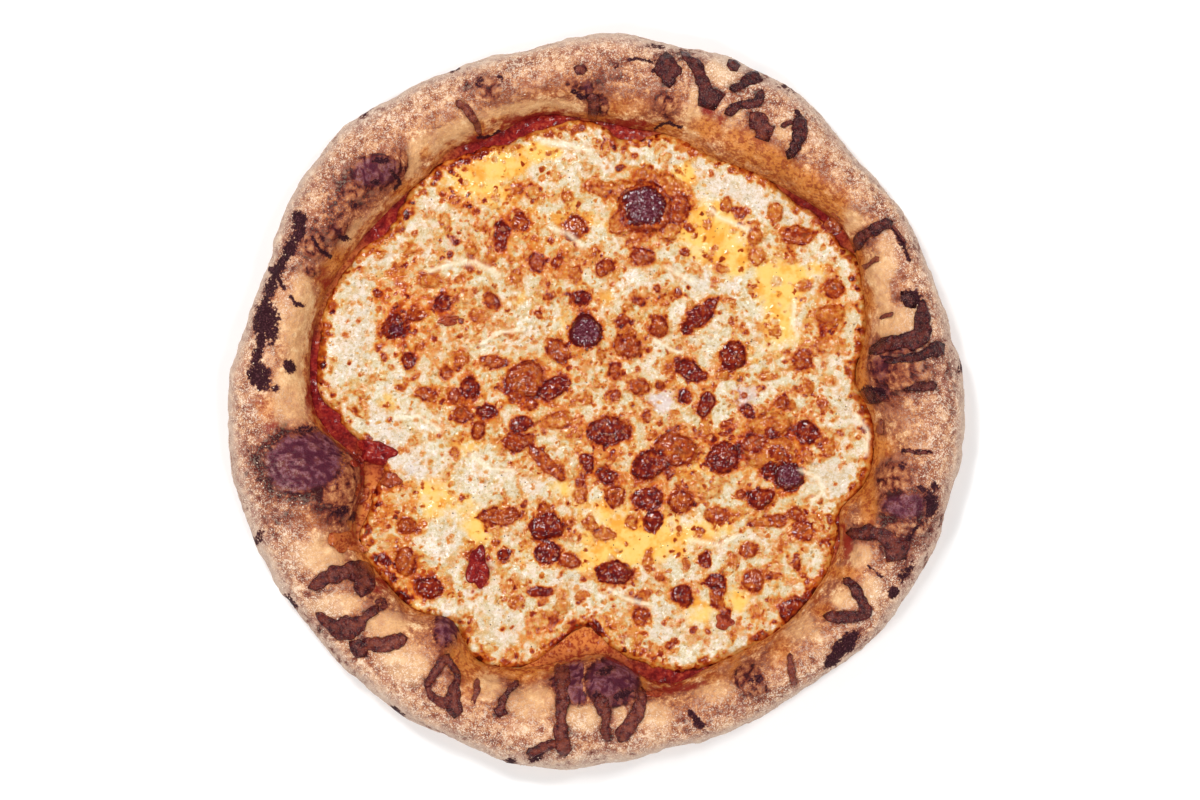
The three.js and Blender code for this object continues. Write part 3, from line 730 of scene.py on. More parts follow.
def makeDoughMaterial():
    material, tree, shader = newMaterial("bakedDough")
    looks = doughLooks
    place = placeNode(tree)
    broad = noiseNode(tree, place, 10.0, 4.0, 0.6)
    middling = noiseNode(tree, place, 3.4, 3.0, 0.6, 31.0)
    small = noiseNode(tree, place, 2.0, 2.0, 0.6, 44.0)
    fine = noiseNode(tree, place, 1.2, 2.0, 0.6, 57.0)
    tiny = noiseNode(tree, place, 0.6, 2.0, 0.6, 83.0)
    outward = attributeNode(tree, "rimPlace")
    oil = attributeNode(tree, "oil")
    brown = attributeNode(tree, "brown")
    stain = attributeNode(tree, "stain")
    hollowShade = attributeNode(tree, "hollowShade")
    tone = attributeNode(tree, "charTone")

    creamy = spreadNode(tree, total(tree, attributeNode(tree, "cream"), swing(tree, middling, 0.9)), 0.25, 0.75)
    calm = spreadNode(tree, creamy, 0.0, 1.0, 1.0, 0.62)
    # the toasting, with painted shade darkening the hollows of the relief
    toast = total(
        tree, 0.50,
        product(tree, brown, 0.33),
        product(tree, attributeNode(tree, "charHalo"), 0.22),
        product(tree, creamy, -0.20),
        product(tree, swing(tree, broad, 1.3), calm),
        product(tree, swing(tree, middling, 1.1), calm),
        product(tree, swing(tree, small, 0.8), calm),
        product(tree, swing(tree, fine, 1.05), calm),
        product(tree, swing(tree, tiny, 0.9), calm),
        product(tree, hollowShade, 0.8),
    )
    # dark dots stay rare where the rim isn't baked brown
    toast = total(tree, toast, product(tree, spreadNode(tree, toast, 0.60, 1.10, 0.0, -0.24),
                                       spreadNode(tree, brown, 0.2, 0.8, 1.0, 0.25)))
    # charred bubbles: wrinkled, darkest along the wrinkles and the border, with painted shade in the hollows
    depth = total(tree, attributeNode(tree, "charDepth"), swing(tree, middling, 1.8), swing(tree, fine, 1.4))
    wrinkles = product(tree, attributeNode(tree, "wrinkle"), 0.22)
    border = product(tree, spreadNode(tree, depth, -0.2, 0.8), spreadNode(tree, depth, 3.2, 1.2), 0.10)
    charred = total(
        tree, 0.52, wrinkles, border,
        product(tree, tone, 0.32),
        swing(tree, middling, 0.55),
        swing(tree, fine, 0.75),
        swing(tree, tiny, 0.45),
        product(tree, hollowShade, 0.6),
    )
    inside = spreadNode(tree, depth, -0.3, 1.6)
    browned = between(tree, toast, charred, inside)
    colour = rampNode(tree, browned, looks["toasting"])
    outside = mathNode(tree, "SUBTRACT", 1.0, inside)
    colour = mixNode(tree, product(tree, creamy, outside, 0.45), colour, looks["cream"])
    pinkish = spreadNode(tree, noiseNode(tree, place, 6.0, 3.0, 0.6, 71.0), 0.50, 0.66)
    colour = mixNode(tree, product(tree, pinkish, outside, 0.40), colour, looks["rosy"])
    tint = mixNode(tree, spreadNode(tree, outward, -0.6, 0.8), looks["inward"], looks["outward"])
    colour = mixNode(tree, 1.0, colour, tint, "MULTIPLY")
    purple = product(tree, spreadNode(tree, tone, 0.60, 0.9), spreadNode(tree, depth, 0.8, 4.0), 0.80)
    # painted highlight: lilac patches on the char's raised skin, away from the wrinkles
    paintedCharHighlight = product(tree, spreadNode(tree, total(tree, fine, swing(tree, small, 0.5)), 0.36, 0.64),
                      spreadNode(tree, browned, 1.06, 0.82),
                      spreadNode(tree, attributeNode(tree, "wrinkle"), 0.10, 0.45, 1.0, 0.1))
    colour = mixNode(tree, purple, colour, mixNode(tree, paintedCharHighlight, looks["purple"], looks["lilac"]))

    # flour and blistered skin: dense on the outside, sparse on the inner slope
    dusting = product(tree, spreadNode(tree, outward, -0.7, 0.6, 0.10, 1.0), spreadNode(tree, inside, 0.0, 1.0, 1.0, 0.3))
    kept = spreadNode(tree, browned, 0.95, 0.6, 0.2, 1.0)
    flecks = spreadNode(tree, total(tree, fine, swing(tree, broad, 0.5)), 0.57, 0.63)
    colour = mixNode(tree, product(tree, flecks, dusting, kept, 0.75), colour, looks["fleck"])
    specks = spreadNode(tree, tiny, 0.56, 0.61)
    colour = mixNode(tree, product(tree, specks, dusting, kept, 0.80), colour, looks["fleck"])
    outermost = spreadNode(tree, total(tree, outward, swing(tree, middling, 0.35)), 0.62, 1.0, 0.0, 0.75)
    outermost = product(tree, outermost, spreadNode(tree, outward, 1.20, 0.98), spreadNode(tree, browned, 0.85, 0.55))
    colour = mixNode(tree, outermost, colour, looks["grey"])

    # oil and sauce that ran on to the dough
    oilMottle = spreadNode(tree, total(tree, middling, swing(tree, fine, 0.7)), 0.44, 0.66)
    oilColour = mixNode(tree, oilMottle, looks["oil"], looks["rust"])
    oily = spreadNode(tree, total(tree, oil, swing(tree, middling, 1.0), swing(tree, fine, 0.5)), 0.2, 0.85)
    colour = mixNode(tree, product(tree, oily, outside, 0.82), colour, oilColour)
    low = total(tree, outward, product(tree, middling, -0.5))
    atWell = product(tree, spreadNode(tree, low, -1.05, -1.22), outside, 0.80)
    colour = mixNode(tree, atWell, colour, oilColour)
    saucy = product(tree, attributeNode(tree, "saucy"), spreadNode(tree, low, -1.14, -1.25))
    colour = mixNode(tree, product(tree, saucy, 0.92), colour, looks["stain"])
    stained = spreadNode(tree, total(tree, stain, swing(tree, middling, 1.0), swing(tree, fine, 0.4)), 0.25, 0.8)
    colour = mixNode(tree, product(tree, stained, outside, 0.88), colour, looks["stain"])

    # soot, with a burnt fringe round it
    sooty = attributeNode(tree, "soot")
    raggedSoot = total(tree, swing(tree, fine, 2.0), swing(tree, middling, 1.6))
    soot = total(tree, sooty, product(tree, raggedSoot, spreadNode(tree, sooty, 0.0, 0.30)))
    fringe = product(tree, spreadNode(tree, soot, 0.10, 0.45), 0.75)
    colour = mixNode(tree, fringe, colour, (0.14, 0.030, 0.020))
    sootColour = mixNode(tree, spreadNode(tree, total(tree, tiny, swing(tree, fine, 0.6)), 0.50, 0.72),
                         looks["soot"], looks["ash"])
    colour = mixNode(tree, product(tree, spreadNode(tree, soot, 0.36, 0.58), 0.97), colour, sootColour)

    # the underside: toasted in spots where it lay on the stone
    below = spreadNode(tree, outward, 1.25, 1.6)
    spots = spreadNode(tree, cellNode(tree, place, 11.0), 0.36, 0.16, 0.0, 0.3)
    baked = total(tree, 0.36, swing(tree, noiseNode(tree, place, 9.0, 4.0, 0.6, 12.0), 1.1),
                  swing(tree, fine, 0.5), spots)
    colour = mixNode(tree, below, colour, rampNode(tree, baked, looks["toasting"]))
    feed(tree, shader.inputs["Base Color"], colour)

    wet = spreadNode(tree, total(tree, oil, stain, saucy), 0.1, 0.9)
    feed(tree, shader.inputs["Roughness"], spreadNode(tree, wet, 0.0, 1.0, 0.78, 0.30))
    shader.inputs["Specular IOR Level"].default_value = 0.14
    normal = bumpNode(tree, small, 0.5, 0.8)
    normal = bumpNode(tree, fine, 0.45, 0.8, normal)
    normal = bumpNode(tree, tiny, 0.25, 0.8, normal)
    feed(tree, shader.inputs["Normal"], normal)
    return material


# Strips and blobs of cheese baked dark on the rim: pixels of the path, and widths along it.
stripSizes = {"rise": 1.4, "sunk": 1.1, "around": 20, "step": 0.5, "unevenness": 0.45, "lumps": 1.2}
rimStrips = [
    {"path": [(667, 58), (669, 82)], "widths": [18, 22, 17], "tone": 0.9},
    {"path": [(684, 54), (696, 66), (704, 84), (711, 101)], "widths": [12, 12, 14, 26], "tone": 0.9},
    {"path": [(731, 62), (735, 68)], "widths": [10, 11], "tone": 0.9},
    {"path": [(732, 88), (745, 82), (760, 74)], "widths": [9, 11, 14], "tone": 0.95},
    {"path": [(727, 112), (740, 105), (757, 103), (761, 92)], "widths": [9, 11, 11, 9], "tone": 0.9},
    {"path": [(752, 115), (758, 122), (764, 133)], "widths": [9, 20, 26], "tone": 0.75},
    {"path": [(801, 119), (800, 135), (790, 155)], "widths": [12, 14, 13], "tone": 0.95},
    {"path": [(782, 126), (792, 122)], "widths": [5, 6], "tone": 0.8},
    {"path": [(889, 223), (876, 229), (862, 237), (856, 250)], "widths": [12, 13, 11, 9], "tone": 0.85},
    {"path": [(892, 225), (904, 242)], "widths": [3, 3], "tone": 0.8},
    {"path": [(877, 258), (862, 268)], "widths": [6, 6], "tone": 0.45},
    {"path": [(880, 318), (892, 313)], "widths": [4, 4], "tone": 0.7},
    {"path": [(905, 296), (911, 303)], "widths": [17, 19], "tone": 1.0},
    {"path": [(923, 302), (922, 320), (920, 335), (905, 341), (885, 345), (872, 352)],
     "widths": [9, 16, 18, 16, 15, 10], "tone": 0.9},
    {"path": [(940, 347), (930, 353), (915, 358), (885, 361)], "widths": [16, 14, 9, 4], "tone": 0.95},
    {"path": [(934, 385), (922, 386), (905, 390)], "widths": [9, 10, 4], "tone": 0.85},
    {"path": [(860, 392), (872, 398), (886, 396)], "widths": [8, 12, 6], "tone": 0.95},
    {"path": [(881, 421), (881, 433)], "widths": [6, 7], "tone": 0.35},
    {"path": [(866, 447), (866, 456)], "widths": [4, 4], "tone": 0.9},
    {"path": [(905, 451), (931, 452)], "widths": [3, 3], "tone": 0.8},
    {"path": [(850, 533), (870, 533), (885, 537), (900, 553)], "widths": [11, 14, 17, 24], "tone": 0.8},
    {"path": [(846, 580), (856, 590), (864, 603), (866, 614), (850, 617), (826, 616)],
     "widths": [10, 12, 13, 13, 12, 9], "tone": 0.85},
    {"path": [(517, 682), (505, 697), (500, 712)], "widths": [6, 8, 17], "tone": 0.8},
    {"path": [(562, 665), (562, 700), (561, 730), (565, 752)], "widths": [14, 13, 13, 13], "tone": 0.7},
    {"path": [(554, 743), (530, 752)], "widths": [10, 12], "tone": 0.75},
    {"path": [(600, 700), (605, 720), (608, 739)], "widths": [16, 13, 8], "tone": 0.7},
    {"path": [(641, 692), (637, 714), (622, 738)], "widths": [12, 14, 15], "tone": 0.65},
    {"path": [(790, 655), (795, 685)], "widths": [7, 6], "tone": 0.5},
    {"path": [(312, 586), (330, 577), (350, 571), (364, 576), (362, 592)],
     "widths": [13, 15, 17, 20, 15], "tone": 0.75},
    {"path": [(318, 615), (335, 628), (350, 628), (362, 622), (376, 608)],
     "widths": [10, 18, 24, 14, 9], "tone": 0.75},
    {"path": [(376, 604), (383, 600), (386, 606), (379, 609)], "widths": [4, 5, 5, 4], "tone": 0.7},
    {"path": [(353, 645), (362, 652)], "widths": [14, 17], "tone": 0.8},
    {"path": [(366, 643), (385, 644), (403, 639)], "widths": [12, 14, 13], "tone": 0.65},
    {"path": [(447, 656), (434, 672), (427, 686), (434, 697), (447, 702)],
     "widths": [9, 9, 9, 10, 16], "tone": 0.65},
    {"path": [(449, 660), (457, 675), (455, 692), (454, 712)], "widths": [8, 8, 12, 19], "tone": 0.75},
    {"path": [(477, 680), (474, 703)], "widths": [6, 5], "tone": 0.6},
    {"path": [(458, 102), (466, 108), (475, 120), (480, 134)], "widths": [7, 9, 9, 7], "tone": 0.5},
    {"path": [(592, 97), (593, 121)], "widths": [11, 9], "tone": 0.7},
    {"path": [(577, 68), (584, 69)], "widths": [10, 11], "tone": 0.7},
]


def curvePoint(points, share):
    # a smooth curve through the points (Catmull-Rom)
    points = [points[0], *points, points[-1]]
    place = share * (len(points) - 3)
    first = min(int(place), len(points) - 4)
    part = place - first
    before, start, end, after = (np.asarray(point, float) for point in points[first:first + 4])
    return 0.5 * (2 * start + (end - before) * part
                  + (2 * before - 5 * start + 4 * end - after) * part ** 2
                  + (3 * start - before - 3 * end + after) * part ** 3)


def buildStrips(material, ground):
    size = stripSizes
    allPoints, allQuads, allTriangles = [], [], []
    across, tones, lowness = [], [], []
    made = 0
    for number, strip in enumerate(rimStrips):
        path = []
        for pixelX, pixelY in strip["path"]:
            height = 20.0
            for _ in range(2):
                x, y = fromPhoto(pixelX, pixelY, height)
                height = heightBelow(ground, x, y)
            path.append((x, y))
        length = sum(math.dist(a, b) for a, b in zip(path, path[1:])) + strip["widths"][0] * mmPerPixel
        steps = max(8, int(length / size["step"]))
        middles = np.array([curvePoint(path, step / steps) for step in range(steps + 1)])
        widths = np.array([curvePoint([(w,) for w in strip["widths"]], step / steps)[0]
                           for step in range(steps + 1)]) * mmPerPixel
        heading = np.gradient(middles, axis=0)
        heading /= np.linalg.norm(heading, axis=1, keepdims=True)
        reach = 0.42 * widths
        # the ends run on a little past the path, and close round
        middles[0] -= heading[0] * reach[0]
        middles[-1] += heading[-1] * reach[-1]
        shares = np.linspace(0, 1, steps + 1)
        lengthwise = np.concatenate([[0], np.cumsum(np.linalg.norm(np.diff(middles, axis=0), axis=1))])
        toEnd = np.minimum(lengthwise, lengthwise[-1] - lengthwise)
        fullness = np.sqrt(np.clip(1 - (1 - np.clip(toEnd / (0.5 * widths), 0, 1)) ** 2, 0, 1))
        along = onPlane(lengthwise + 40.0 * number, 0 * lengthwise)
        wobble = fractalNoise(along, 4.0, 3, 91)
        swayed = fractalNoise(along, 5.0, 2, 97)
        widths = widths * (0.96 + size["unevenness"] * wobble) * fullness
        sideways = np.stack([-heading[:, 1], heading[:, 0]], axis=1)
        middles = middles + sideways * (0.8 * swayed * fullness)[:, None]
        angles = np.linspace(0, 2 * math.pi, size["around"], endpoint=False)
        first = made
        for step in range(1, steps):
            for angle in angles:
                side = math.cos(angle)
                x, y = middles[step] + sideways[step] * side * widths[step] / 2
                base = heightBelow(ground, x, y)
                bulk = min(1.0, widths[step] / 3.0)
                if math.sin(angle) >= 0:
                    edge = abs(side)
                    lift = size["rise"] * bulk * (1 - edge ** 4) ** 0.5 * (0.72 + 0.45 * edge ** 2)
                else:
                    lift = size["sunk"] * math.sin(angle)
                allPoints.append((x, y, base + lift))
                across.append(abs(side))
                tones.append(strip["tone"])
                lowness.append(min(1.0, max(0.0, (13.0 - base) / 6.0)))
        rings = steps - 1
        around = size["around"]
        for ring in range(rings - 1):
            for side in range(around):
                here = first + ring * around + side
                beside = first + ring * around + (side + 1) % around
                allQuads.append((here, here + around, beside + around, beside))
        for pole, ring, flip in ((0, 0, False), (steps, rings - 1, True)):
            x, y = middles[pole]
            tip = first + rings * around + (1 if flip else 0)
            allPoints.append((x, y, heightBelow(ground, x, y) - 0.1))
            across.append(1.0)
            tones.append(strip["tone"])
            lowness.append(0.0)
            for side in range(around):
                here = first + ring * around + side
                beside = first + ring * around + (side + 1) % around
                allTriangles.append((tip, beside, here) if flip else (tip, here, beside))
        made = len(allPoints)
    points = np.array(allPoints)
    inside = np.array(across) < 0.92
    points[:, 2] += np.where(inside, size["lumps"] * fractalNoise(points, 2.4, 2, 101), 0.0)
    mesh = makeMesh("bakedStrips", points, allQuads, allTriangles,
                    {"across": across, "stripTone": tones, "lowness": lowness})
    return makePiece("bakedStrips", mesh, material)


stripLooks = {
    "baked": [
        (0.10, (0.38, 0.125, 0.045)), (0.36, (0.22, 0.046, 0.022)), (0.58, (0.120, 0.018, 0.013)),
        (0.78, (0.064, 0.007, 0.009)), (1.00, (0.018, 0.002, 0.005)),
    ],
    "middle": (0.21, 0.055, 0.034),
    "border": (0.034, 0.004, 0.004),
    "foot": (0.34, 0.080, 0.014),
    # the next colour is a painted highlight for the specks on the strips
    "paintedSheen": (0.34, 0.13, 0.095),
}


def makeStripMaterial():
    material, tree, shader = newMaterial("bakedCheeseStrips")
    looks = stripLooks
    place = placeNode(tree)
    middling = noiseNode(tree, place, 2.6, 3.0, 0.6, 5.0)
    fine = noiseNode(tree, place, 1.0, 2.0, 0.6, 17.0)
    tiny = noiseNode(tree, place, 0.55, 1.0, 0.5, 29.0)
    tone = attributeNode(tree, "stripTone")
    across = attributeNode(tree, "across")

    baked = total(tree, tone, swing(tree, middling, 1.3), swing(tree, fine, 1.1), swing(tree, tiny, 0.6))
    colour = rampNode(tree, baked, looks["baked"])
    inner = spreadNode(tree, total(tree, across, swing(tree, middling, 2.0)), 0.60, 0.10, 0.0, 0.45)
    colour = mixNode(tree, product(tree, inner, spreadNode(tree, tone, 1.0, 0.6, 0.3, 1.0)), colour, looks["middle"])
    outer = spreadNode(tree, total(tree, across, swing(tree, fine, 1.2)), 0.72, 1.15, 0.0, 0.55)
    colour = mixNode(tree, outer, colour, looks["border"])
    foot = spreadNode(tree, attributeNode(tree, "lowness"), 0.25, 0.9, 0.0, 0.75)
    colour = mixNode(tree, foot, colour, looks["foot"])
    # painted sheen: lighter pinkish specks standing in for a glossy highlight
    paintedSheen = product(tree, spreadNode(tree, total(tree, tiny, swing(tree, fine, 0.8)), 0.60, 0.72), 0.45)
    colour = mixNode(tree, paintedSheen, colour, looks["paintedSheen"])
    feed(tree, shader.inputs["Base Color"], colour)
    feed(tree, shader.inputs["Roughness"], spreadNode(tree, fine, 0.35, 0.65, 0.16, 0.42))
    shader.inputs["Specular IOR Level"].default_value = 0.16
    normal = bumpNode(tree, middling, 1.1, 0.9)
    normal = bumpNode(tree, fine, 0.3, 0.8, normal)
    feed(tree, shader.inputs["Normal"], normal)
    return material


# The cheese: blisters by how dark they have baked, then patches and lines, in pixels.
blisterTones = {"pale": 0.16, "orange": 0.34, "brown": 0.56, "dark": 0.78, "purple": 1.0}
cheeseBlisters = {
    "pale": [
        (697, 478, 5, 5, 0), (830, 380, 6, 6, 0), (563, 607, 7, 9, 0),
        (540, 620, 8, 7, 0), (542, 275, 4, 4, 0), (573, 256, 5, 5, 0), (712, 492, 5, 5, 0),
        (780, 253, 4, 4, 0), (418, 248, 6, 4, 0), (467, 298, 6, 6, 0), (535, 193, 5, 5, 0),
    ],
    "orange": [
        (625, 190, 13, 11, 0), (668, 186, 15, 11, -20), (622, 222, 12, 13, 0), (668, 232, 13, 8, 20),
        (640, 236, 12, 8, 0), (648, 176, 12, 7, 0), (822, 343, 8, 7, 0), (830, 315, 14, 12, 0), (757, 255, 8, 10, 0),
        (755, 236, 8, 8, 0), (775, 212, 7, 10, 0), (727, 205, 6, 10, 0), (600, 187, 14, 8, 0),
        (569, 195, 6, 6, 0), (518, 190, 6, 6, 0), (575, 273, 8, 7, 0), (517, 276, 6, 7, 0),
        (665, 301, 6, 5, 0), (602, 355, 5, 6, 0), (478, 316, 8, 6, 0), (462, 360, 7, 8, 0),
        (557, 420, 16, 9, 20), (585, 400, 9, 6, 0), (575, 432, 5, 5, 0), (580, 492, 6, 10, 0),
        (706, 427, 5, 12, 0), (770, 425, 22, 12, 0), (828, 447, 7, 10, 0), (793, 405, 5, 5, 0),
        (770, 452, 26, 17, 0), (808, 456, 6, 7, 0),
        (807, 385, 5, 7, 0), (590, 521, 6, 8, 0), (605, 533, 14, 7, 0), (633, 521, 6, 8, 0),
        (648, 562, 4, 12, 0), (660, 578, 5, 5, 0), (515, 601, 9, 6, 0), (582, 597, 6, 6, 0),
        (646, 596, 6, 6, 0), (765, 522, 14, 6, 0), (783, 545, 5, 6, 0), (733, 561, 6, 6, 0),
        (687, 564, 5, 6, 0), (430, 281, 9, 8, 0), (470, 250, 6, 6, 0), (490, 258, 5, 7, 0),
        (458, 280, 5, 5, 0), (715, 247, 4, 4, 0), (722, 270, 5, 5, 0), (805, 283, 6, 5, 0),
        (775, 333, 7, 6, 0), (765, 378, 9, 5, 0), (722, 375, 7, 6, 0), (770, 502, 5, 5, 0),
        (822, 405, 4, 9, 20), (455, 200, 5, 6, 0), (407, 255, 4, 5, 0), (394, 273, 3, 5, 0),
    ],
    "brown": [
        (646, 208, 27, 26, 0), (679, 208, 10, 16, 0), (557, 350, 12, 11, 0), (415, 315, 12, 5, 20), (802, 359, 10, 12, 0), (833, 290, 10, 9, 0),
        (800, 235, 17, 9, 0), (518, 222, 9, 9, 0), (575, 228, 11, 11, 0), (535, 264, 8, 9, 0),
        (555, 262, 6, 6, 0), (604, 267, 9, 9, 0), (641, 257, 12, 9, 0), (629, 345, 14, 13, 0),
        (616, 372, 6, 10, 0), (658, 325, 9, 11, 0), (640, 302, 8, 4, 0), (620, 320, 6, 6, 0),
        (548, 297, 5, 5, 0), (492, 303, 7, 9, 0), (447, 374, 7, 7, 0), (493, 361, 14, 8, 0),
        (427, 395, 10, 7, 0), (452, 396, 7, 7, 0), (461, 412, 8, 9, 0), (480, 430, 8, 10, 0),
        (526, 380, 18, 19, 0), (515, 397, 6, 8, 0), (530, 406, 6, 6, 0), (517, 441, 16, 10, 0),
        (547, 463, 22, 8, -45), (617, 396, 5, 5, 0), (640, 386, 11, 8, 0), (662, 383, 5, 5, 0),
        (646, 418, 5, 6, 0), (675, 450, 21, 17, -15), (616, 496, 11, 10, 0), (755, 445, 15, 9, 15),
        (779, 455, 11, 8, -20),
        (742, 494, 5, 5, 0), (680, 502, 13, 10, 0), (782, 403, 8, 8, 0), (408, 526, 10, 9, 0),
        (405, 562, 11, 14, 0), (397, 602, 7, 7, 0), (500, 516, 20, 10, 0), (545, 512, 9, 8, 0),
        (568, 562, 12, 8, 0), (641, 617, 9, 9, 0), (717, 517, 11, 8, 0), (778, 522, 10, 7, 0),
        (797, 515, 8, 8, 0), (804, 531, 10, 11, 0), (748, 551, 9, 8, 0), (796, 562, 6, 7, 0),
        (753, 581, 10, 11, 0), (772, 578, 8, 4, 0), (717, 600, 6, 10, 0), (685, 252, 6, 4, 0),
        (690, 228, 5, 4, 0), (740, 212, 7, 5, 0), (725, 425, 6, 3, 0), (478, 211, 3, 3, 0),
    ],
    "dark": [
        (393, 328, 12, 14, 0), (443, 302, 9, 9, 0), (702, 313, 22, 8, 42), (734, 355, 13, 16, 0),
        (691, 370, 16, 9, -32), (503, 236, 6, 13, 0), (581, 297, 10, 9, 0), (409, 360, 6, 8, 0),
        (470, 388, 10, 10, 0), (487, 412, 12, 7, 0), (552, 388, 19, 9, 30), (523, 424, 12, 6, 0),
        (608, 431, 22, 13, 0), (588, 463, 8, 10, 0), (606, 475, 10, 8, 0), (650, 465, 20, 13, 25),
        (648, 498, 14, 11, 0), (685, 396, 5, 7, 0), (705, 404, 8, 12, 0), (748, 411, 7, 7, 0),
        (772, 432, 7, 5, 0), (807, 432, 10, 12, 0), (724, 458, 15, 15, 0), (768, 469, 8, 6, 30),
        (761, 498, 12, 10, 0), (385, 560, 6, 6, 0), (427, 587, 14, 11, 0), (546, 528, 18, 13, 0),
        (548, 554, 13, 11, 0), (505, 555, 6, 6, 0), (654, 520, 9, 12, 0), (615, 573, 17, 13, 0),
        (540, 593, 11, 5, 0), (706, 559, 6, 7, 0), (716, 582, 9, 8, 0), (684, 595, 10, 12, 0),
        (794, 612, 14, 13, 0), (725, 615, 5, 7, 0), (688, 330, 6, 6, 0), (455, 244, 3, 3, 0),
        (449, 255, 3, 3, 0),
    ],
    "purple": [
        (645, 207, 21, 20, 0), (585, 330, 16, 17, 0), (787, 476, 14, 15, 0), (396, 331, 8, 8, 0),
    ],
}
cheeseMarks = {
    "milk": [
        (355, 330, 60, 20, 80, 0.9), (385, 430, 30, 16, -40, 0.9), (412, 465, 30, 20, -30, 0.9),
        (400, 385, 18, 12, 0, 0.8), (702, 282, 22, 10, 0, 0.8), (730, 290, 12, 10, 0, 0.7),
        (840, 482, 14, 26, 0, 0.9), (745, 195, 50, 14, -20, 1.0), (800, 205, 26, 18, -40, 0.8),
        (690, 155, 26, 12, -10, 0.8), (660, 620, 30, 26, 0, 0.8), (500, 630, 30, 22, 0, 0.7),
        (850, 400, 16, 30, 0, 0.7), (450, 540, 30, 30, 0, 0.6), (385, 250, 30, 14, 50, 0.6),
        (620, 160, 30, 10, 0, 0.7), (570, 585, 26, 20, 0, 0.7), (715, 345, 18, 14, 0, 0.5),
        (545, 245, 20, 10, 0, 0.5), (530, 490, 24, 14, 0, 0.7), (740, 640, 30, 12, 10, 0.6),
        (820, 470, 20, 20, 0, 0.6), (640, 275, 26, 10, 0, 0.5), (470, 480, 20, 20, 0, 0.5),
    ],
    "yellow": [
        (712, 232, 30, 28, -30, 1.0), (782, 278, 26, 20, -50, 1.0), (774, 312, 14, 24, 0, 0.8),
        (735, 262, 14, 12, 0, 0.8),
        (500, 165, 34, 14, 8, 0.8), (640, 540, 46, 22, 0, 1.0), (475, 525, 16, 26, 10, 0.8),
        (415, 615, 12, 14, 0, 0.8), (545, 150, 16, 8, 0, 0.8), (685, 175, 12, 9, 0, 0.9),
        (435, 495, 18, 22, 0, 0.7), (715, 530, 22, 12, 0, 0.6), (560, 490, 14, 10, 0, 0.6),
        (700, 610, 14, 16, 0, 0.7), (740, 600, 14, 12, 0, 0.8), (520, 300, 16, 10, 0, 0.4),
        (790, 330, 12, 14, 0, 0.5), (660, 440, 12, 14, 0, 0.5), (590, 560, 18, 12, 0, 0.6),
        (820, 270, 14, 9, 0, 0.5), (600, 220, 20, 8, 0, 0.4), (478, 188, 44, 14, -15, 0.6),
        (560, 215, 24, 12, 0, 0.4), (610, 300, 26, 10, 0, 0.4), (560, 325, 14, 16, 0, 0.4),
        (700, 470, 20, 14, 0, 0.5), (600, 510, 24, 12, 0, 0.5), (470, 445, 20, 12, 0, 0.4),
        (390, 400, 16, 12, 0, 0.4), (760, 350, 16, 12, 0, 0.4), (525, 560, 14, 16, 0, 0.4),
    ],
    "orange": [
        (530, 250, 40, 26, -20, 0.5), (480, 205, 50, 26, 0, 0.35), (415, 300, 30, 40, 10, 0.6),
        (400, 492, 14, 20, 10, 1.0), (398, 297, 24, 14, 0, 0.9), (440, 497, 14, 14, 0, 0.6),
        (590, 632, 36, 14, 8, 1.0), (754, 620, 14, 14, 0, 0.7), (742, 598, 14, 10, 0, 0.5),
        (500, 178, 38, 16, 0, 0.6), (470, 165, 16, 10, 0, 0.7), (450, 322, 26, 10, 10, 0.7),
        (418, 580, 18, 14, 0, 0.8), (400, 600, 12, 10, 0, 0.7), (525, 232, 30, 18, 0, 0.55),
        (540, 380, 40, 24, 0, 0.35), (766, 450, 36, 22, 0, 0.8), (600, 460, 50, 20, 0, 0.15),
        (500, 400, 50, 26, 0, 0.25), (660, 470, 50, 34, 0, 0.15), (835, 320, 24, 34, 0, 0.45),
        (530, 640, 24, 14, 0, 0.7), (650, 645, 16, 12, 0, 0.4), (455, 215, 26, 16, 30, 0.35),
        (870, 440, 8, 40, 0, 0.4), (800, 590, 20, 20, 0, 0.4), (480, 560, 18, 30, 0, 0.5),
        (690, 210, 18, 30, 0, 0.4), (420, 350, 40, 26, 0, 0.3), (385, 510, 14, 40, 0, 0.6),
    ],
    "red": [
        (449, 321, 12, 6, 15, 0.9), (478, 568, 13, 22, 0, 0.9), (725, 622, 14, 12, 0, 0.7),
        (378, 452, 18, 12, 0, 0.9), (392, 482, 10, 9, 0, 0.8), (805, 205, 20, 8, -40, 0.6),
        (828, 222, 12, 12, 0, 0.7), (396, 285, 16, 6, 0, 0.6), (420, 575, 14, 6, 0, 0.7),
        (620, 640, 16, 6, 0, 0.6), (770, 455, 26, 16, 0, 0.45), (655, 178, 14, 7, 0, 0.3),
        (800, 235, 22, 12, 0, 0.5), (430, 240, 14, 6, 30, 0.3), (398, 330, 20, 18, 0, 0.4),
        (740, 432, 20, 8, 0, 0.4), (450, 575, 8, 20, 0, 0.3), (650, 650, 10, 6, 0, 0.5),
    ],
    "lilac": [
        (663, 400, 13, 11, 0, 1.0), (745, 395, 16, 13, 0, 0.8), (412, 470, 12, 10, 0, 0.6),
        (800, 190, 22, 8, -30, 0.6), (850, 205, 8, 16, 0, 0.5), (452, 243, 9, 9, 0, 0.6),
        (810, 480, 10, 10, 0, 0.4), (470, 590, 12, 10, 0, 0.5), (700, 640, 16, 8, 0, 0.4),
        (540, 290, 12, 6, 0, 0.4), (490, 610, 12, 8, 0, 0.4), (700, 345, 10, 6, 0, 0.4),
    ],
}
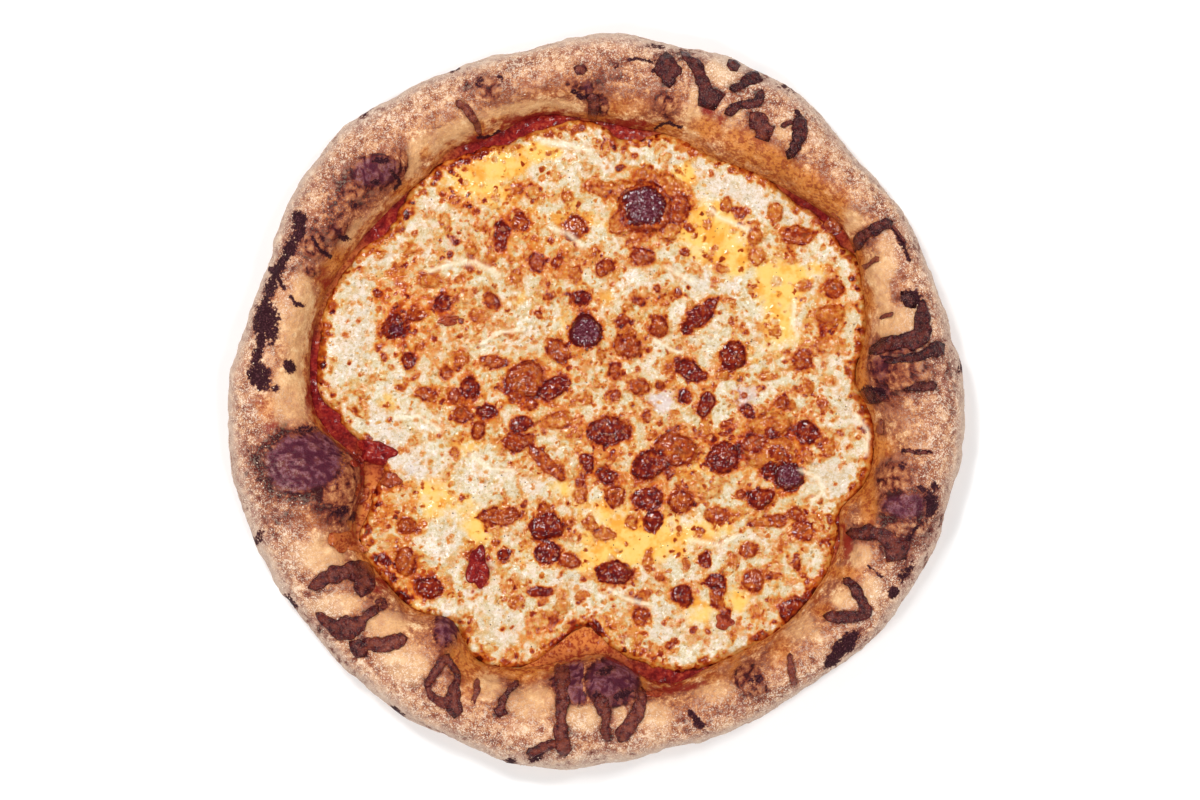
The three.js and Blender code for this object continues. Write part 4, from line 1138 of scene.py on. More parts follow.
paleRidges = [
    ([(543, 142), (566, 144), (590, 151)], 3.0), ([(430, 271), (452, 264), (475, 262), (500, 275)], 2.6),
    ([(708, 205), (718, 217), (748, 229)], 2.4), ([(795, 300), (793, 318), (797, 336)], 2.2),
    ([(800, 470), (818, 478), (824, 492), (812, 500)], 2.4), ([(668, 268), (680, 275), (692, 281)], 2.6),
    ([(553, 229), (568, 234), (582, 246)], 2.4), ([(396, 418), (420, 416), (440, 430)], 2.2),
    ([(610, 590), (630, 600), (652, 606)], 2.4), ([(690, 540), (720, 545), (735, 536)], 2.2),
    ([(470, 455), (492, 470), (512, 470)], 2.4), ([(480, 345), (500, 332), (525, 330)], 2.0),
    ([(655, 340), (672, 350), (680, 352)], 2.0), ([(855, 415), (868, 430), (866, 455)], 2.2),
]
cheeseSizes = {
    "radius": 110.0,
    "underside": 5.7,
    "top": 8.5,
    "cells": 300,
    "ripple": 0.55,
    "lip": 1.8,
    "smallSpots": 1350,
    "smallSpotSize": (1.6, 4.8),      # half widths, pixels
    "seed": 20,
}


def cheeseEdge(angle):
    # the sheet melts on to the rim, except where the sauce shows
    ripples = addRipples([(0.7, 19, 0)], angle)
    turn = np.radians(angle)
    ring = np.stack([np.cos(turn), np.sin(turn), 0 * turn], axis=1) * cheeseSizes["radius"]
    lobes = fractalNoise(ring, 11.0, 3, 7)
    scallops = fractalNoise(ring, 4.5, 2, 17)
    inward = cheeseSizes["radius"] + addWaves(cheeseWaves, angle) + ripples + 2.6 * lobes + 1.3 * scallops
    opened = np.clip(addWaves(sauceOpenings, angle) + 0.35 * lobes, 0.0, 1.0)
    outward = np.maximum(wellEdge(angle) + 1.2 + 1.6 * lobes + 1.0 * scallops, inward)
    return lerp(outward, inward, opened)


def cheeseGround(x, y):
    # the slow swells of the sheet, as the solid has them
    swells = np.sin(x / 9 + y / 17) * np.sin(y / 8 - x / 23)
    return cheeseSizes["top"] + cheeseSizes["ripple"] * (swells + 0.6 * np.sin(x / 5 - y / 6))


def roundedGrid(cells):
    # a square grid drawn out to a disc: radius share and turn of each corner
    line = np.linspace(-1, 1, cells + 1)
    a, b = np.meshgrid(line, line, indexing="ij")
    wide = np.abs(a) > np.abs(b)
    safeA, safeB = np.where(a == 0, 1, a), np.where(b == 0, 1, b)
    share = np.where(wide, a, b)
    turn = np.where(wide, math.pi / 4 * b / safeA, math.pi / 2 - math.pi / 4 * a / safeB)
    turn = np.where((a == 0) & (b == 0), 0.0, turn)
    turn = np.where(share < 0, turn + math.pi, turn)
    return np.abs(share).ravel(), turn.ravel() % (2 * math.pi)


def smallSpots():
    # baked freckles between the blisters, drawn with a fixed seed: fewer where it stayed white
    draw = np.random.default_rng(cheeseSizes["seed"])
    low, high = cheeseSizes["smallSpotSize"]
    spots = []
    while len(spots) < cheeseSizes["smallSpots"]:
        turn, share = draw.uniform(0, 2 * math.pi), math.sqrt(draw.uniform(0, 1))
        radius = 272.0 * share
        atX, atY = 597.0 + radius * math.cos(turn), 401.5 - radius * math.sin(turn)
        size = low + (high - low) * draw.uniform(0, 1) ** 2.2
        tone = draw.choice([0.08, 0.16, 0.26, 0.4, 0.6], p=[0.28, 0.30, 0.22, 0.14, 0.06])
        kept = draw.uniform(0, 1)
        here = np.array([atX]), np.array([atY])
        white = patchField(*here, cheeseMarks["milk"])[0]
        pool = patchField(*here, cheeseMarks["yellow"])[0]
        if kept < 1.0 - 0.62 * white - 0.4 * pool:
            spots.append((atX, atY, size, size * draw.uniform(0.7, 1.0), draw.uniform(0, 180), tone))
    return spots


def buildCheese(material):
    size = cheeseSizes
    cells = size["cells"]
    share, turn = roundedGrid(cells)
    edge = cheeseEdge(np.degrees(turn))
    radius = share * edge
    x, y = radius * np.cos(turn), radius * np.sin(turn)
    plane = onPlane(x, y)
    toEdge = (1.0 - share) * edge
    shifted = np.stack([x + view["middleInFrame"][0], y + view["middleInFrame"][1],
                        np.full_like(x, 9.0)], axis=1)
    pixelX, pixelY = toPhoto(shifted)
    bentX = pixelX + 3.8 * fractalNoise(plane, 6.5, 2, 3)
    bentY = pixelY + 3.8 * fractalNoise(plane, 6.5, 2, 13)
    ordered = [(*spot, blisterTones[name]) for name in ("orange", "pale", "brown", "dark", "purple")
               for spot in cheeseBlisters[name]]
    depth, tone, swelling, halo = blisterField(bentX, bentY, smallSpots() + ordered)
    looseX = pixelX + 6.0 * fractalNoise(plane, 9.0, 3, 21)
    looseY = pixelY + 6.0 * fractalNoise(plane, 9.0, 3, 33)
    marks = {key: patchField(looseX, looseY, patches, 3.0) for key, patches in cheeseMarks.items()}
    ridges = lineField(pixelX + 1.2 * fractalNoise(plane, 4.0, 2, 45), pixelY, paleRidges)
    pools = np.clip(marks["yellow"], 0, 1)

    folds = fractalNoise(plane, 7.5, 3, 51)
    pebbles = fractalNoise(plane, 2.7, 2, 61)
    pits = np.clip(fractalNoise(plane, 2.2, 1, 67) - 0.35, 0, 1)
    wrinkled = smoothStep(depth, 0.2, 1.2)
    relief = (0.75 * folds + 0.42 * pebbles - 0.9 * pits) * (1 - 0.75 * pools)
    relief = relief - 0.45 * pools + 0.7 * ridges + swelling
    relief = relief + wrinkled * (0.55 * fractalNoise(plane, 2.1, 2, 71) - 0.2 * tone)
    height = cheeseGround(x, y) + relief
    rounding = 1.0 - np.exp(-toEdge / size["lip"])
    height = size["underside"] + 0.25 + (height - size["underside"] - 0.25) * rounding
    side = cells + 1
    # painted shade: how deep each point sits in the relief, which the cheese colour darkens as if in shadow
    hollowShade = hollowness(height.reshape(side, side), 2).ravel()

    points = np.stack([shifted[:, 0], shifted[:, 1], height], axis=1)
    row, column = np.meshgrid(np.arange(cells), np.arange(cells), indexing="ij")
    here = (row * side + column).ravel()
    quads = np.stack([here, here + side, here + side + 1, here + 1], axis=1)
    # the border goes round the square, down to the underside, and in to its middle
    border = np.concatenate([
        np.arange(cells) * side, cells * side + np.arange(cells),
        (cells - np.arange(cells)) * side + cells, cells - np.arange(cells),
    ])
    count = len(border)
    lower = points[border] * 1.0
    lower[:, 2] = size["underside"]
    start = len(points)
    centre = start + count
    points = np.concatenate([points, lower, [[*view["middleInFrame"], size["underside"]]]])
    ring = np.arange(count)
    following = (ring + 1) % count
    skirt = np.stack([border[ring], start + ring, start + following, border[following]], axis=1)
    fan = np.stack([start + following, start + ring, np.full(count, centre)], axis=1)
    values = {"depth": depth, "tone": tone, "halo": halo, "ridge": ridges, "hollowShade": hollowShade,
              "toEdge": toEdge, **marks}
    values = {key: np.concatenate([numbers, numbers[border], numbers[:1]]) for key, numbers in values.items()}
    mesh = makeMesh("meltedCheese", points, np.concatenate([quads, skirt]), fan, values)
    return makePiece("meltedCheese", mesh, material, "cheese")


cheeseLooks = {
    "browning": [           # from milk-white, through golden and orange-brown, to burnt
        (0.00, (0.81, 0.77, 0.68)), (0.05, (0.72, 0.66, 0.55)), (0.12, (0.67, 0.565, 0.405)),
        (0.20, (0.63, 0.480, 0.290)),
        (0.30, (0.60, 0.375, 0.168)), (0.40, (0.565, 0.275, 0.086)), (0.49, (0.52, 0.190, 0.038)),
        (0.57, (0.45, 0.118, 0.017)), (0.65, (0.36, 0.065, 0.008)), (0.73, (0.265, 0.032, 0.004)),
        (0.82, (0.185, 0.012, 0.002)), (0.91, (0.120, 0.003, 0.001)), (1.00, (0.065, 0.001, 0.001)),
    ],
    "cool": (0.68, 0.590, 0.515),
    "grey": (0.53, 0.435, 0.320),
    "olive": (0.17, 0.11, 0.035),
    "yellow": (0.80, 0.50, 0.12),
    "amber": (0.76, 0.33, 0.040),
    "red": (0.25, 0.010, 0.008),
    "rose": (0.44, 0.13, 0.10),
    "lilac": (0.62, 0.52, 0.50),
    "ridge": (0.80, 0.68, 0.48),
    "purple": (0.072, 0.008, 0.017),
    # the next two colours are painted highlights on the blisters
    "paintedLilacHighlight": (0.200, 0.066, 0.088),
    "paintedSheen": (0.46, 0.165, 0.080),
    "golden": (0.52, 0.20, 0.04),
    "orange": (1.08, 0.80, 0.42),
    "greenTint": (1.00, 1.00, 0.84),
    "pinkTint": (1.04, 0.95, 0.97),
}


def makeCheeseMaterial():
    material, tree, shader = newMaterial("meltedMozzarella")
    looks = cheeseLooks
    place = placeNode(tree)
    broad = noiseNode(tree, place, 9.0, 3.0, 0.6)
    middling = noiseNode(tree, place, 4.2, 1.0, 0.5, 21.0)
    other = noiseNode(tree, place, 2.4, 1.0, 0.5, 87.0)
    fine = noiseNode(tree, place, 1.3, 1.0, 0.5, 43.0)
    tiny = noiseNode(tree, place, 0.62, 1.0, 0.5, 65.0)

    def ragged(name, amount, noise):
        # an attribute whose border is made uneven by a noise
        return total(tree, attributeNode(tree, name), swing(tree, noise, amount))

    def freckles(size, shift, least, most):
        # round soft spots of many sizes, one in each cell
        moved = tree.nodes.new("ShaderNodeVectorMath")
        feed(tree, moved.inputs[0], place)
        moved.inputs[1].default_value = (shift, -shift, shift)
        bent = tree.nodes.new("ShaderNodeVectorMath")
        feed(tree, bent.inputs[0], moved.outputs[0])
        feed(tree, bent.inputs[1], mathNode(tree, "MULTIPLY", other, 0.8 * size))
        cells = tree.nodes.new("ShaderNodeTexVoronoi")
        feed(tree, cells.inputs["Vector"], bent.outputs[0])
        cells.inputs["Scale"].default_value = 1.0 / size
        parts = tree.nodes.new("ShaderNodeSeparateColor")
        tree.links.new(cells.outputs["Color"], parts.inputs[0])
        reach = spreadNode(tree, parts.outputs[0], 0.0, 1.0, least, most)
        return mathNode(tree, "SUBTRACT", reach, cells.outputs["Distance"]), parts.outputs[1]

    tone = attributeNode(tree, "tone")
    halo = attributeNode(tree, "halo")
    orange = attributeNode(tree, "orange")
    milk = attributeNode(tree, "milk")
    hollowShade = attributeNode(tree, "hollowShade")
    depth = total(tree, ragged("depth", 0.4, fine), swing(tree, other, 0.7))

    # how far the cheese has browned, outside the blisters, with painted shade darkening the hollows of the relief
    spot, spotKind = freckles(3.7, 13.0, 0.08, 0.46)
    speck, speckKind = freckles(2.0, 29.0, 0.04, 0.44)
    calm = spreadNode(tree, ragged("milk", 0.5, broad), 0.2, 0.9, 1.0, 0.5)
    # white curds with golden gaps between them
    gaps = spreadNode(tree, total(tree, middling, swing(tree, other, 0.5), swing(tree, broad, 0.6)), 0.40, 0.68)
    bake = total(
        tree, 0.075,
        product(tree, gaps, calm, 0.22),
        product(tree, orange, 0.26),
        product(tree, milk, -0.03),
        product(tree, mathNode(tree, "POWER", halo, 1.8), 0.36),
        product(tree, swing(tree, broad, 0.5), calm),
        product(tree, swing(tree, other, 0.20), calm),
        swing(tree, fine, 0.18),
        product(tree, spreadNode(tree, spot, -0.04, 0.20, 0.0, 0.38), calm),
        product(tree, spreadNode(tree, speck, 0.04, 0.20, 0.0, 0.14), calm),
        product(tree, hollowShade, 0.20),
        swing(tree, tiny, 0.15),
    )
    atEdge = total(tree, attributeNode(tree, "toEdge"), product(tree, middling, -11.0))
    bake = total(tree, bake, spreadNode(tree, atEdge, 0.2, -3.0, 0.0, 0.42))
    # and inside them: a dark outline, and a skin that is mottled and paler in places, with painted shade in the
    # hollows
    inside = spreadNode(tree, depth, -0.75, 0.50)
    outline = product(tree, spreadNode(tree, depth, -0.25, 0.35), spreadNode(tree, depth, 2.2, 0.7))
    skin = total(
        tree, 0.385,
        product(tree, tone, 0.63),
        swing(tree, other, 0.60),
        swing(tree, fine, 0.34),
        swing(tree, tiny, 0.16),
        product(tree, outline, spreadNode(tree, tone, 0.15, 0.5, 0.00, 0.05)),
        product(tree, hollowShade, 0.15),
    )
    browned = between(tree, bake, skin, inside)
    colour = rampNode(tree, browned, looks["browning"])
    outside = mathNode(tree, "SUBTRACT", 1.0, inside)

    # the whites turn grey-green here and pink there, and glow orange round the blisters
    hue = noiseNode(tree, place, 5.0, 2.0, 0.6, 11.0)
    tint = mixNode(tree, spreadNode(tree, total(tree, hue, swing(tree, fine, 0.5)), 0.36, 0.64),
                   looks["greenTint"], looks["pinkTint"])
    colour = mixNode(tree, 1.0, colour, tint, "MULTIPLY")
    glow = total(tree, product(tree, halo, 0.75), product(tree, orange, 0.8))
    glowing = product(tree, glow, spreadNode(tree, browned, 0.18, 0.42), outside)
    colour = mixNode(tree, glowing, colour, looks["orange"], "MULTIPLY")
    white = product(tree, spreadNode(tree, bake, 0.32, 0.14), outside)
    colour = mixNode(tree, product(tree, white, spreadNode(tree, milk, 0.2, 0.9, 0.15, 0.75)), colour, looks["cool"])
    greyness = product(tree, white, spreadNode(tree, hue, 0.56, 0.40), 0.4)
    colour = mixNode(tree, greyness, colour, looks["grey"])
    # the curds' texture: fine shading, and thin golden creases between them
    shading = product(tree, spreadNode(tree, total(tree, fine, swing(tree, tiny, 0.7)), 0.52, 0.34), outside, 0.75)
    colour = mixNode(tree, shading, colour, (0.80, 0.68, 0.48), "MULTIPLY")
    veins = lineNode(tree, noiseNode(tree, place, 3.2, 2.0, 0.6, 77.0), 0.04)
    colour = mixNode(tree, product(tree, veins, outside, 0.45), colour, (0.78, 0.62, 0.34), "MULTIPLY")
    dots = product(tree, spreadNode(tree, total(tree, tiny, swing(tree, broad, 0.2)), 0.66, 0.74), outside, 0.55)
    colour = mixNode(tree, dots, colour, looks["olive"])
    olive = product(tree, spreadNode(tree, speck, 0.06, 0.18), spreadNode(tree, speckKind, 0.55, 0.75), outside, 0.45)
    colour = mixNode(tree, olive, colour, looks["olive"])

    # pools of oil, streaks of milk and patches of sauce
    pool = product(tree, spreadNode(tree, ragged("yellow", 0.6, middling), 0.18, 0.72), outside,
                   spreadNode(tree, browned, 0.66, 0.42))
    poolTone = spreadNode(tree, total(tree, broad, product(tree, bake, 0.35)), 0.52, 0.78)
    colour = mixNode(tree, product(tree, pool, 0.90), colour, mixNode(tree, poolTone, looks["yellow"], looks["amber"]))
    lilac = spreadNode(tree, ragged("lilac", 0.7, fine), 0.3, 0.8)
    colour = mixNode(tree, product(tree, lilac, outside, 0.8), colour, looks["lilac"])
    rosy = spreadNode(tree, ragged("red", 1.2, middling), 0.35, 0.95)
    redColour = mixNode(tree, spreadNode(tree, fine, 0.44, 0.62), looks["red"], looks["rose"])
    colour = mixNode(tree, product(tree, rosy, outside, 0.85), colour, redColour)
    colour = mixNode(tree, product(tree, attributeNode(tree, "ridge"), 0.7), colour, looks["ridge"])

    # the blisters' paler bits, which are painted highlights, golden middles, and purple crowns flecked with painted
    # lilac highlights
    paler = product(tree, spreadNode(tree, noiseNode(tree, place, 1.9, 1.0, 0.5, 51.0), 0.58, 0.70),
                    spreadNode(tree, depth, 0.4, 1.2), 0.50)
    colour = mixNode(tree, product(tree, paler, spreadNode(tree, tone, 0.2, 0.5)), colour, looks["paintedSheen"])
    middle = product(tree, spreadNode(tree, depth, 1.2, 2.6), spreadNode(tree, tone, 0.62, 0.5), gaps, 0.3)
    colour = mixNode(tree, middle, colour, looks["golden"])
    purple = product(tree, spreadNode(tree, tone, 0.74, 0.98), spreadNode(tree, depth, 0.7, 2.4), 0.85)
    crown = mixNode(tree, spreadNode(tree, total(tree, fine, swing(tree, tiny, 0.5)), 0.46, 0.70),
                    looks["purple"], looks["paintedLilacHighlight"])
    colour = mixNode(tree, purple, colour, crown)
    # painted shade: the hollows of the relief are darkened in the colour
    paintedCreaseShade = spreadNode(tree, hollowShade, 0.08, 0.5, 0.0, 0.45)
    colour = mixNode(tree, paintedCreaseShade, colour, (0.60, 0.34, 0.15), "MULTIPLY")
    feed(tree, shader.inputs["Base Color"], colour)

    wet = spreadNode(tree, total(tree, attributeNode(tree, "yellow"), attributeNode(tree, "red")), 0.2, 0.9)
    rough = between(tree, spreadNode(tree, wet, 0.0, 1.0, 0.20, 0.07), 0.12, inside)
    feed(tree, shader.inputs["Roughness"], total(tree, rough, swing(tree, other, 0.10)))
    shader.inputs["Specular IOR Level"].default_value = 0.31
    calmer = product(tree, spreadNode(tree, attributeNode(tree, "yellow"), 0.2, 0.8, 1.0, 0.4),
                     spreadNode(tree, inside, 0.0, 1.0, 1.0, 0.75))
    normal = bumpNode(tree, product(tree, other, calmer), 1.2, 0.8)
    normal = bumpNode(tree, fine, 0.14, 0.7, normal)
    feed(tree, shader.inputs["Normal"], normal)
    return material


# The sauce: a flat glossy layer with pulp in it, seen in the ring between cheese and rim.
sauceSizes = {
    "underside": 4.15,
    "top": 5.6,
    "stations": 900,
    "ringWidth": 34.0,
    "ringRows": 34,
    "pulp": 0.75,
}
sauceLumps = [     # pixels: x, y, half length, half width, turn, rise in mm
    (376, 453, 18, 13, -10, 2.6), (392, 482, 9, 8, 0, 1.2), (473, 143, 9, 8, 0, 1.2),
    (490, 136, 16, 8, 10, 1.1), (545, 122, 24, 7, 6, 0.9), (612, 126, 16, 7, 0, 0.9),
    (640, 138, 14, 8, -30, 1.0), (365, 232, 10, 16, 30, 0.7), (325, 330, 5, 26, 15, 0.6),
    (316, 400, 6, 16, -20, 0.7), (836, 222, 7, 12, -20, 1.0), (806, 192, 14, 6, -25, 0.7),
    (846, 545, 6, 20, 4, 1.0), (672, 690, 22, 5, 12, 0.9), (860, 400, 4, 14, 0, 0.4),
]


oilySauce = [      # where it has gone orange with oil: pixels, half sizes, turn, strength
    (590, 634, 62, 26, 8, 1.0), (322, 300, 12, 40, 15, 0.8), (345, 262, 20, 12, 45, 0.8),
    (368, 505, 16, 36, 0, 1.0), (375, 560, 20, 30, 0, 0.9), (430, 640, 30, 24, -35, 1.0),
    (520, 672, 40, 14, 0, 1.0), (735, 170, 40, 12, -20, 0.8), (860, 310, 14, 60, 0, 1.0),
    (866, 430, 14, 60, 0, 1.0), (835, 590, 24, 40, 30, 1.0), (770, 650, 40, 24, 35, 1.0),
    (430, 165, 24, 12, 40, 0.8), (585, 128, 12, 8, 0, 0.7), (690, 140, 30, 10, 0, 0.9),
    (400, 470, 12, 20, 0, 0.5),
]


def buildSauce(material):
    size = sauceSizes
    stations = size["stations"]
    angle = np.arange(stations) * 360.0 / stations
    turn = np.radians(angle)[:, None]
    edge = (wellEdge(angle) + 0.5)[:, None]
    outer = edge - size["ringWidth"] * np.linspace(0, 1, size["ringRows"])[None, :] ** 1.15
    radius = np.concatenate([
        edge * np.array([0.02, 0.5, 0.9, 0.99])[None, :],
        edge + 0.1 + 0 * edge,
        outer,
        (edge - size["ringWidth"]) * np.array([0.85, 0.5, 0.02])[None, :],
    ], axis=1)
    x, y = radius * np.cos(turn), radius * np.sin(turn)
    points = np.stack([x, y, 0 * x], axis=2).reshape(-1, 3)
    shift = np.array([*view["middleInFrame"], 6.0])
    pixelX, pixelY = toPhoto(points + shift)
    lumps = np.zeros(len(points))
    for lump in sauceLumps:
        distance = patchDistance(pixelX, pixelY, lump)
        lumps = np.maximum(lumps, lump[5] * np.clip(1.15 - distance, 0, 1) ** 0.6)
    pulp = size["pulp"] * fractalNoise(points, 5.0, 3, 5) + 0.3 * fractalNoise(points, 1.8, 1, 15)
    top = size["top"] + 0.25 + pulp * 0.8 + lumps * (1 + 0.35 * fractalNoise(points, 3.0, 2, 25))
    top = np.maximum(top, size["underside"] + 0.5).reshape(x.shape)
    hidden = smoothStep(radius, edge - size["ringWidth"] * 0.8, edge - size["ringWidth"] * 0.5)
    top = lerp(size["top"] - 0.15, top, hidden)
    rows = x.shape[1]
    height = np.where(np.arange(rows)[None, :] < 4, size["underside"], top)
    height[:, 4] = size["underside"] + 0.5
    points[:, 2] = height.ravel()
    points[:, :2] += view["middleInFrame"]
    ring = np.arange(stations)
    following = (ring + 1) % stations
    bottomPole = len(points)
    middle = view["middleInFrame"]
    points = np.concatenate([points, [[*middle, size["underside"]], [*middle, size["top"] - 0.15]]])
    triangles = np.concatenate([
        np.stack([following * rows, ring * rows, np.full(stations, bottomPole)], axis=1),
        np.stack([ring * rows + rows - 1, following * rows + rows - 1, np.full(stations, bottomPole + 1)], axis=1),
    ])
    loose = 5.0 * fractalNoise(points, 7.0, 2, 35)[:len(lumps)]
    oily = patchField(pixelX + loose, pixelY - loose, oilySauce, 3.0)
    values = {"lump": np.append(lumps, [0.0, 0.0]), "oily": np.append(oily, [0.0, 0.0])}
    mesh = makeMesh("tomatoSauce", points, ringQuads(stations, rows), triangles, values)
    return makePiece("tomatoSauce", mesh, material, "sauce")


def makeSauceMaterial():
    material, tree, shader = newMaterial("tomatoSauce")
    place = placeNode(tree)
    middling = noiseNode(tree, place, 3.2, 3.0, 0.6, 3.0)
    fine = noiseNode(tree, place, 1.0, 2.0, 0.6, 9.0)
    pulp = total(tree, middling, swing(tree, fine, 0.5))
    colour = rampNode(tree, pulp, [
        (0.30, (0.085, 0.002, 0.003)), (0.48, (0.175, 0.006, 0.007)), (0.60, (0.26, 0.015, 0.010)),
        (0.74, (0.36, 0.055, 0.022)),
    ])
    paler = spreadNode(tree, noiseNode(tree, place, 1.5, 1.0, 0.5, 27.0), 0.60, 0.72)
    colour = mixNode(tree, product(tree, paler, 0.12), colour, (0.46, 0.12, 0.09))
    orangeTone = total(tree, fine, swing(tree, middling, 1.4))
    oily = mixNode(tree, spreadNode(tree, orangeTone, 0.30, 0.60), (0.32, 0.042, 0.010), (0.62, 0.195, 0.042))
    colour = mixNode(tree, product(tree, attributeNode(tree, "oily"), 0.90), colour, oily)
    thick = spreadNode(tree, attributeNode(tree, "lump"), 1.0, 2.4, 0.0, 0.5)
    colour = mixNode(tree, thick, colour, (0.26, 0.014, 0.016))
    feed(tree, shader.inputs["Base Color"], colour)
    feed(tree, shader.inputs["Roughness"], spreadNode(tree, fine, 0.3, 0.7, 0.10, 0.24))
    shader.inputs["Specular IOR Level"].default_value = 0.26
    normal = bumpNode(tree, middling, 0.5, 0.6)
    feed(tree, shader.inputs["Normal"], bumpNode(tree, fine, 0.10, 0.6, normal))
    return material


# Grains scattered by Geometry Nodes: flour on the rim, pepper on the cheese.
def scatterTree(name, material):
    tree = bpy.data.node_groups.new(name, "GeometryNodeTree")
    face = tree.interface
    face.new_socket("Surface", in_out="INPUT", socket_type="NodeSocketGeometry")
    for label, kind in (("Grains per square metre", "NodeSocketFloat"), ("Size", "NodeSocketFloat"),
                        ("Flatness", "NodeSocketFloat"), ("Seed", "NodeSocketInt")):
        face.new_socket(label, in_out="INPUT", socket_type=kind)
    face.new_socket("Grains", in_out="OUTPUT", socket_type="NodeSocketGeometry")
    nodes, link = tree.nodes, tree.links.new
    start, end = nodes.new("NodeGroupInput"), nodes.new("NodeGroupOutput")
    density = nodes.new("GeometryNodeInputNamedAttribute")
    density.data_type = "FLOAT"
    density.inputs["Name"].default_value = "scatter"
    amount = nodes.new("ShaderNodeMath")
    amount.operation = "MULTIPLY"
    link(density.outputs["Attribute"], amount.inputs[0])
    link(start.outputs["Grains per square metre"], amount.inputs[1])
    spread = nodes.new("GeometryNodeDistributePointsOnFaces")
    link(start.outputs["Surface"], spread.inputs["Mesh"])
    link(amount.outputs[0], spread.inputs["Density"])
    link(start.outputs["Seed"], spread.inputs["Seed"])
    grain = nodes.new("GeometryNodeMeshIcoSphere")
    grain.inputs["Radius"].default_value = 1.0
    grain.inputs["Subdivisions"].default_value = 1
    scales = nodes.new("FunctionNodeRandomValue")
    scales.data_type = "FLOAT_VECTOR"
    scales.inputs[0].default_value = (0.35, 0.35, 0.35)
    scales.inputs[1].default_value = (1.0, 1.0, 1.0)
    link(start.outputs["Seed"], scales.inputs["Seed"])
    flat = nodes.new("ShaderNodeCombineXYZ")
    flat.inputs[0].default_value = 1.0
    flat.inputs[1].default_value = 1.0
    link(start.outputs["Flatness"], flat.inputs[2])
    sized = nodes.new("ShaderNodeVectorMath")
    sized.operation = "SCALE"
    link(flat.outputs[0], sized.inputs[0])
    link(start.outputs["Size"], sized.inputs["Scale"])
    scaled = nodes.new("ShaderNodeVectorMath")
    scaled.operation = "MULTIPLY"
    link(scales.outputs[0], scaled.inputs[0])
    link(sized.outputs[0], scaled.inputs[1])
    turned = nodes.new("FunctionNodeRandomValue")
    turned.data_type = "FLOAT"
    turned.inputs[2].default_value = 0.0
    turned.inputs[3].default_value = 2 * math.pi
    aligned = nodes.new("FunctionNodeRotateEuler")
    aligned.rotation_type = "AXIS_ANGLE"
    aligned.space = "LOCAL"
    link(spread.outputs["Rotation"], aligned.inputs["Rotation"])
    aligned.inputs["Axis"].default_value = (0, 0, 1)
    link(turned.outputs[1], aligned.inputs["Angle"])
    placed = nodes.new("GeometryNodeInstanceOnPoints")
    link(spread.outputs["Points"], placed.inputs["Points"])
    link(grain.outputs["Mesh"], placed.inputs["Instance"])
    link(aligned.outputs["Rotation"], placed.inputs["Rotation"])
    link(scaled.outputs[0], placed.inputs["Scale"])
    real = nodes.new("GeometryNodeRealizeInstances")
    link(placed.outputs["Instances"], real.inputs["Geometry"])
    finish = nodes.new("GeometryNodeSetMaterial")
    finish.inputs["Material"].default_value = material
    link(real.outputs["Geometry"], finish.inputs["Geometry"])
    link(finish.outputs["Geometry"], end.inputs["Grains"])
    return tree


def scatterOn(name, surfaceMesh, density, settings, material):
    host = bpy.data.objects.new(name + "Host", surfaceMesh.copy())
    bpy.context.scene.collection.objects.link(host)
    attribute = host.data.attributes.new("scatter", "FLOAT", "POINT")
    attribute.data.foreach_set("value", np.asarray(density, dtype=np.float32))
    tree = scatterTree(name + "Tree", material)
    modifier = host.modifiers.new("scatter", "NODES")
    modifier.node_group = tree
    for item in tree.interface.items_tree:
        if item.in_out == "INPUT" and item.name in settings:
            modifier[item.identifier] = settings[item.name]
    grown = host.evaluated_get(bpy.context.evaluated_depsgraph_get())
    mesh = bpy.data.meshes.new_from_object(grown)
    mesh.name = name
    host.modifiers.clear()
    bpy.data.objects.remove(host)
    return makePiece(name, mesh, material)


flourGrains = {"Grains per square metre": 90000.0, "Size": 0.00042, "Flatness": 0.6, "Seed": 4}
pepperGrains = {"Grains per square metre": 16000.0, "Size": 0.00036, "Flatness": 0.7, "Seed": 8}


def makeFlourMaterial():
    material, tree, shader = newMaterial("toastedFlour")
    shade = noiseNode(tree, placeNode(tree), 1.6, 1.0, 0.5)
    colour = rampNode(tree, shade, [(0.35, (0.50, 0.32, 0.21)), (0.5, (0.70, 0.52, 0.39)), (0.65, (0.80, 0.67, 0.55))])
    feed(tree, shader.inputs["Base Color"], colour)
    shader.inputs["Roughness"].default_value = 0.8
    return material


def makePepperMaterial():
    material, tree, shader = newMaterial("blackPepper")
    shade = noiseNode(tree, placeNode(tree), 0.9, 1.0, 0.5)
    colour = rampNode(tree, shade, [(0.4, (0.022, 0.016, 0.014)), (0.6, (0.10, 0.055, 0.035))])
    feed(tree, shader.inputs["Base Color"], colour)
    shader.inputs["Roughness"].default_value = 0.6
    return material


# Lumps of tomato on the cheese and the rim: pixels x, y, half sizes, turn, rise in mm, oiliness.
tomatoLumps = [
    (376, 452, 19, 12, -15, 1.8, 0.0), (391, 480, 10, 8, 0, 1.2, 0.3), (358, 462, 7, 6, 0, 1.0, 0.1),
    (341, 541, 13, 10, 0, 2.0, 0.6), (356, 546, 12, 6, -25, 1.4, 0.6), (478, 568, 11, 21, 0, 1.8, 0.0),
    (449, 321, 10, 5, 10, 1.0, 0.3), (724, 622, 9, 8, 0, 1.4, 0.2), (833, 224, 8, 10, 0, 1.2, 0.4),
    (655, 693, 10, 4, 10, 0.8, 0.2), (362, 494, 7, 10, 0, 1.0, 0.4),
]


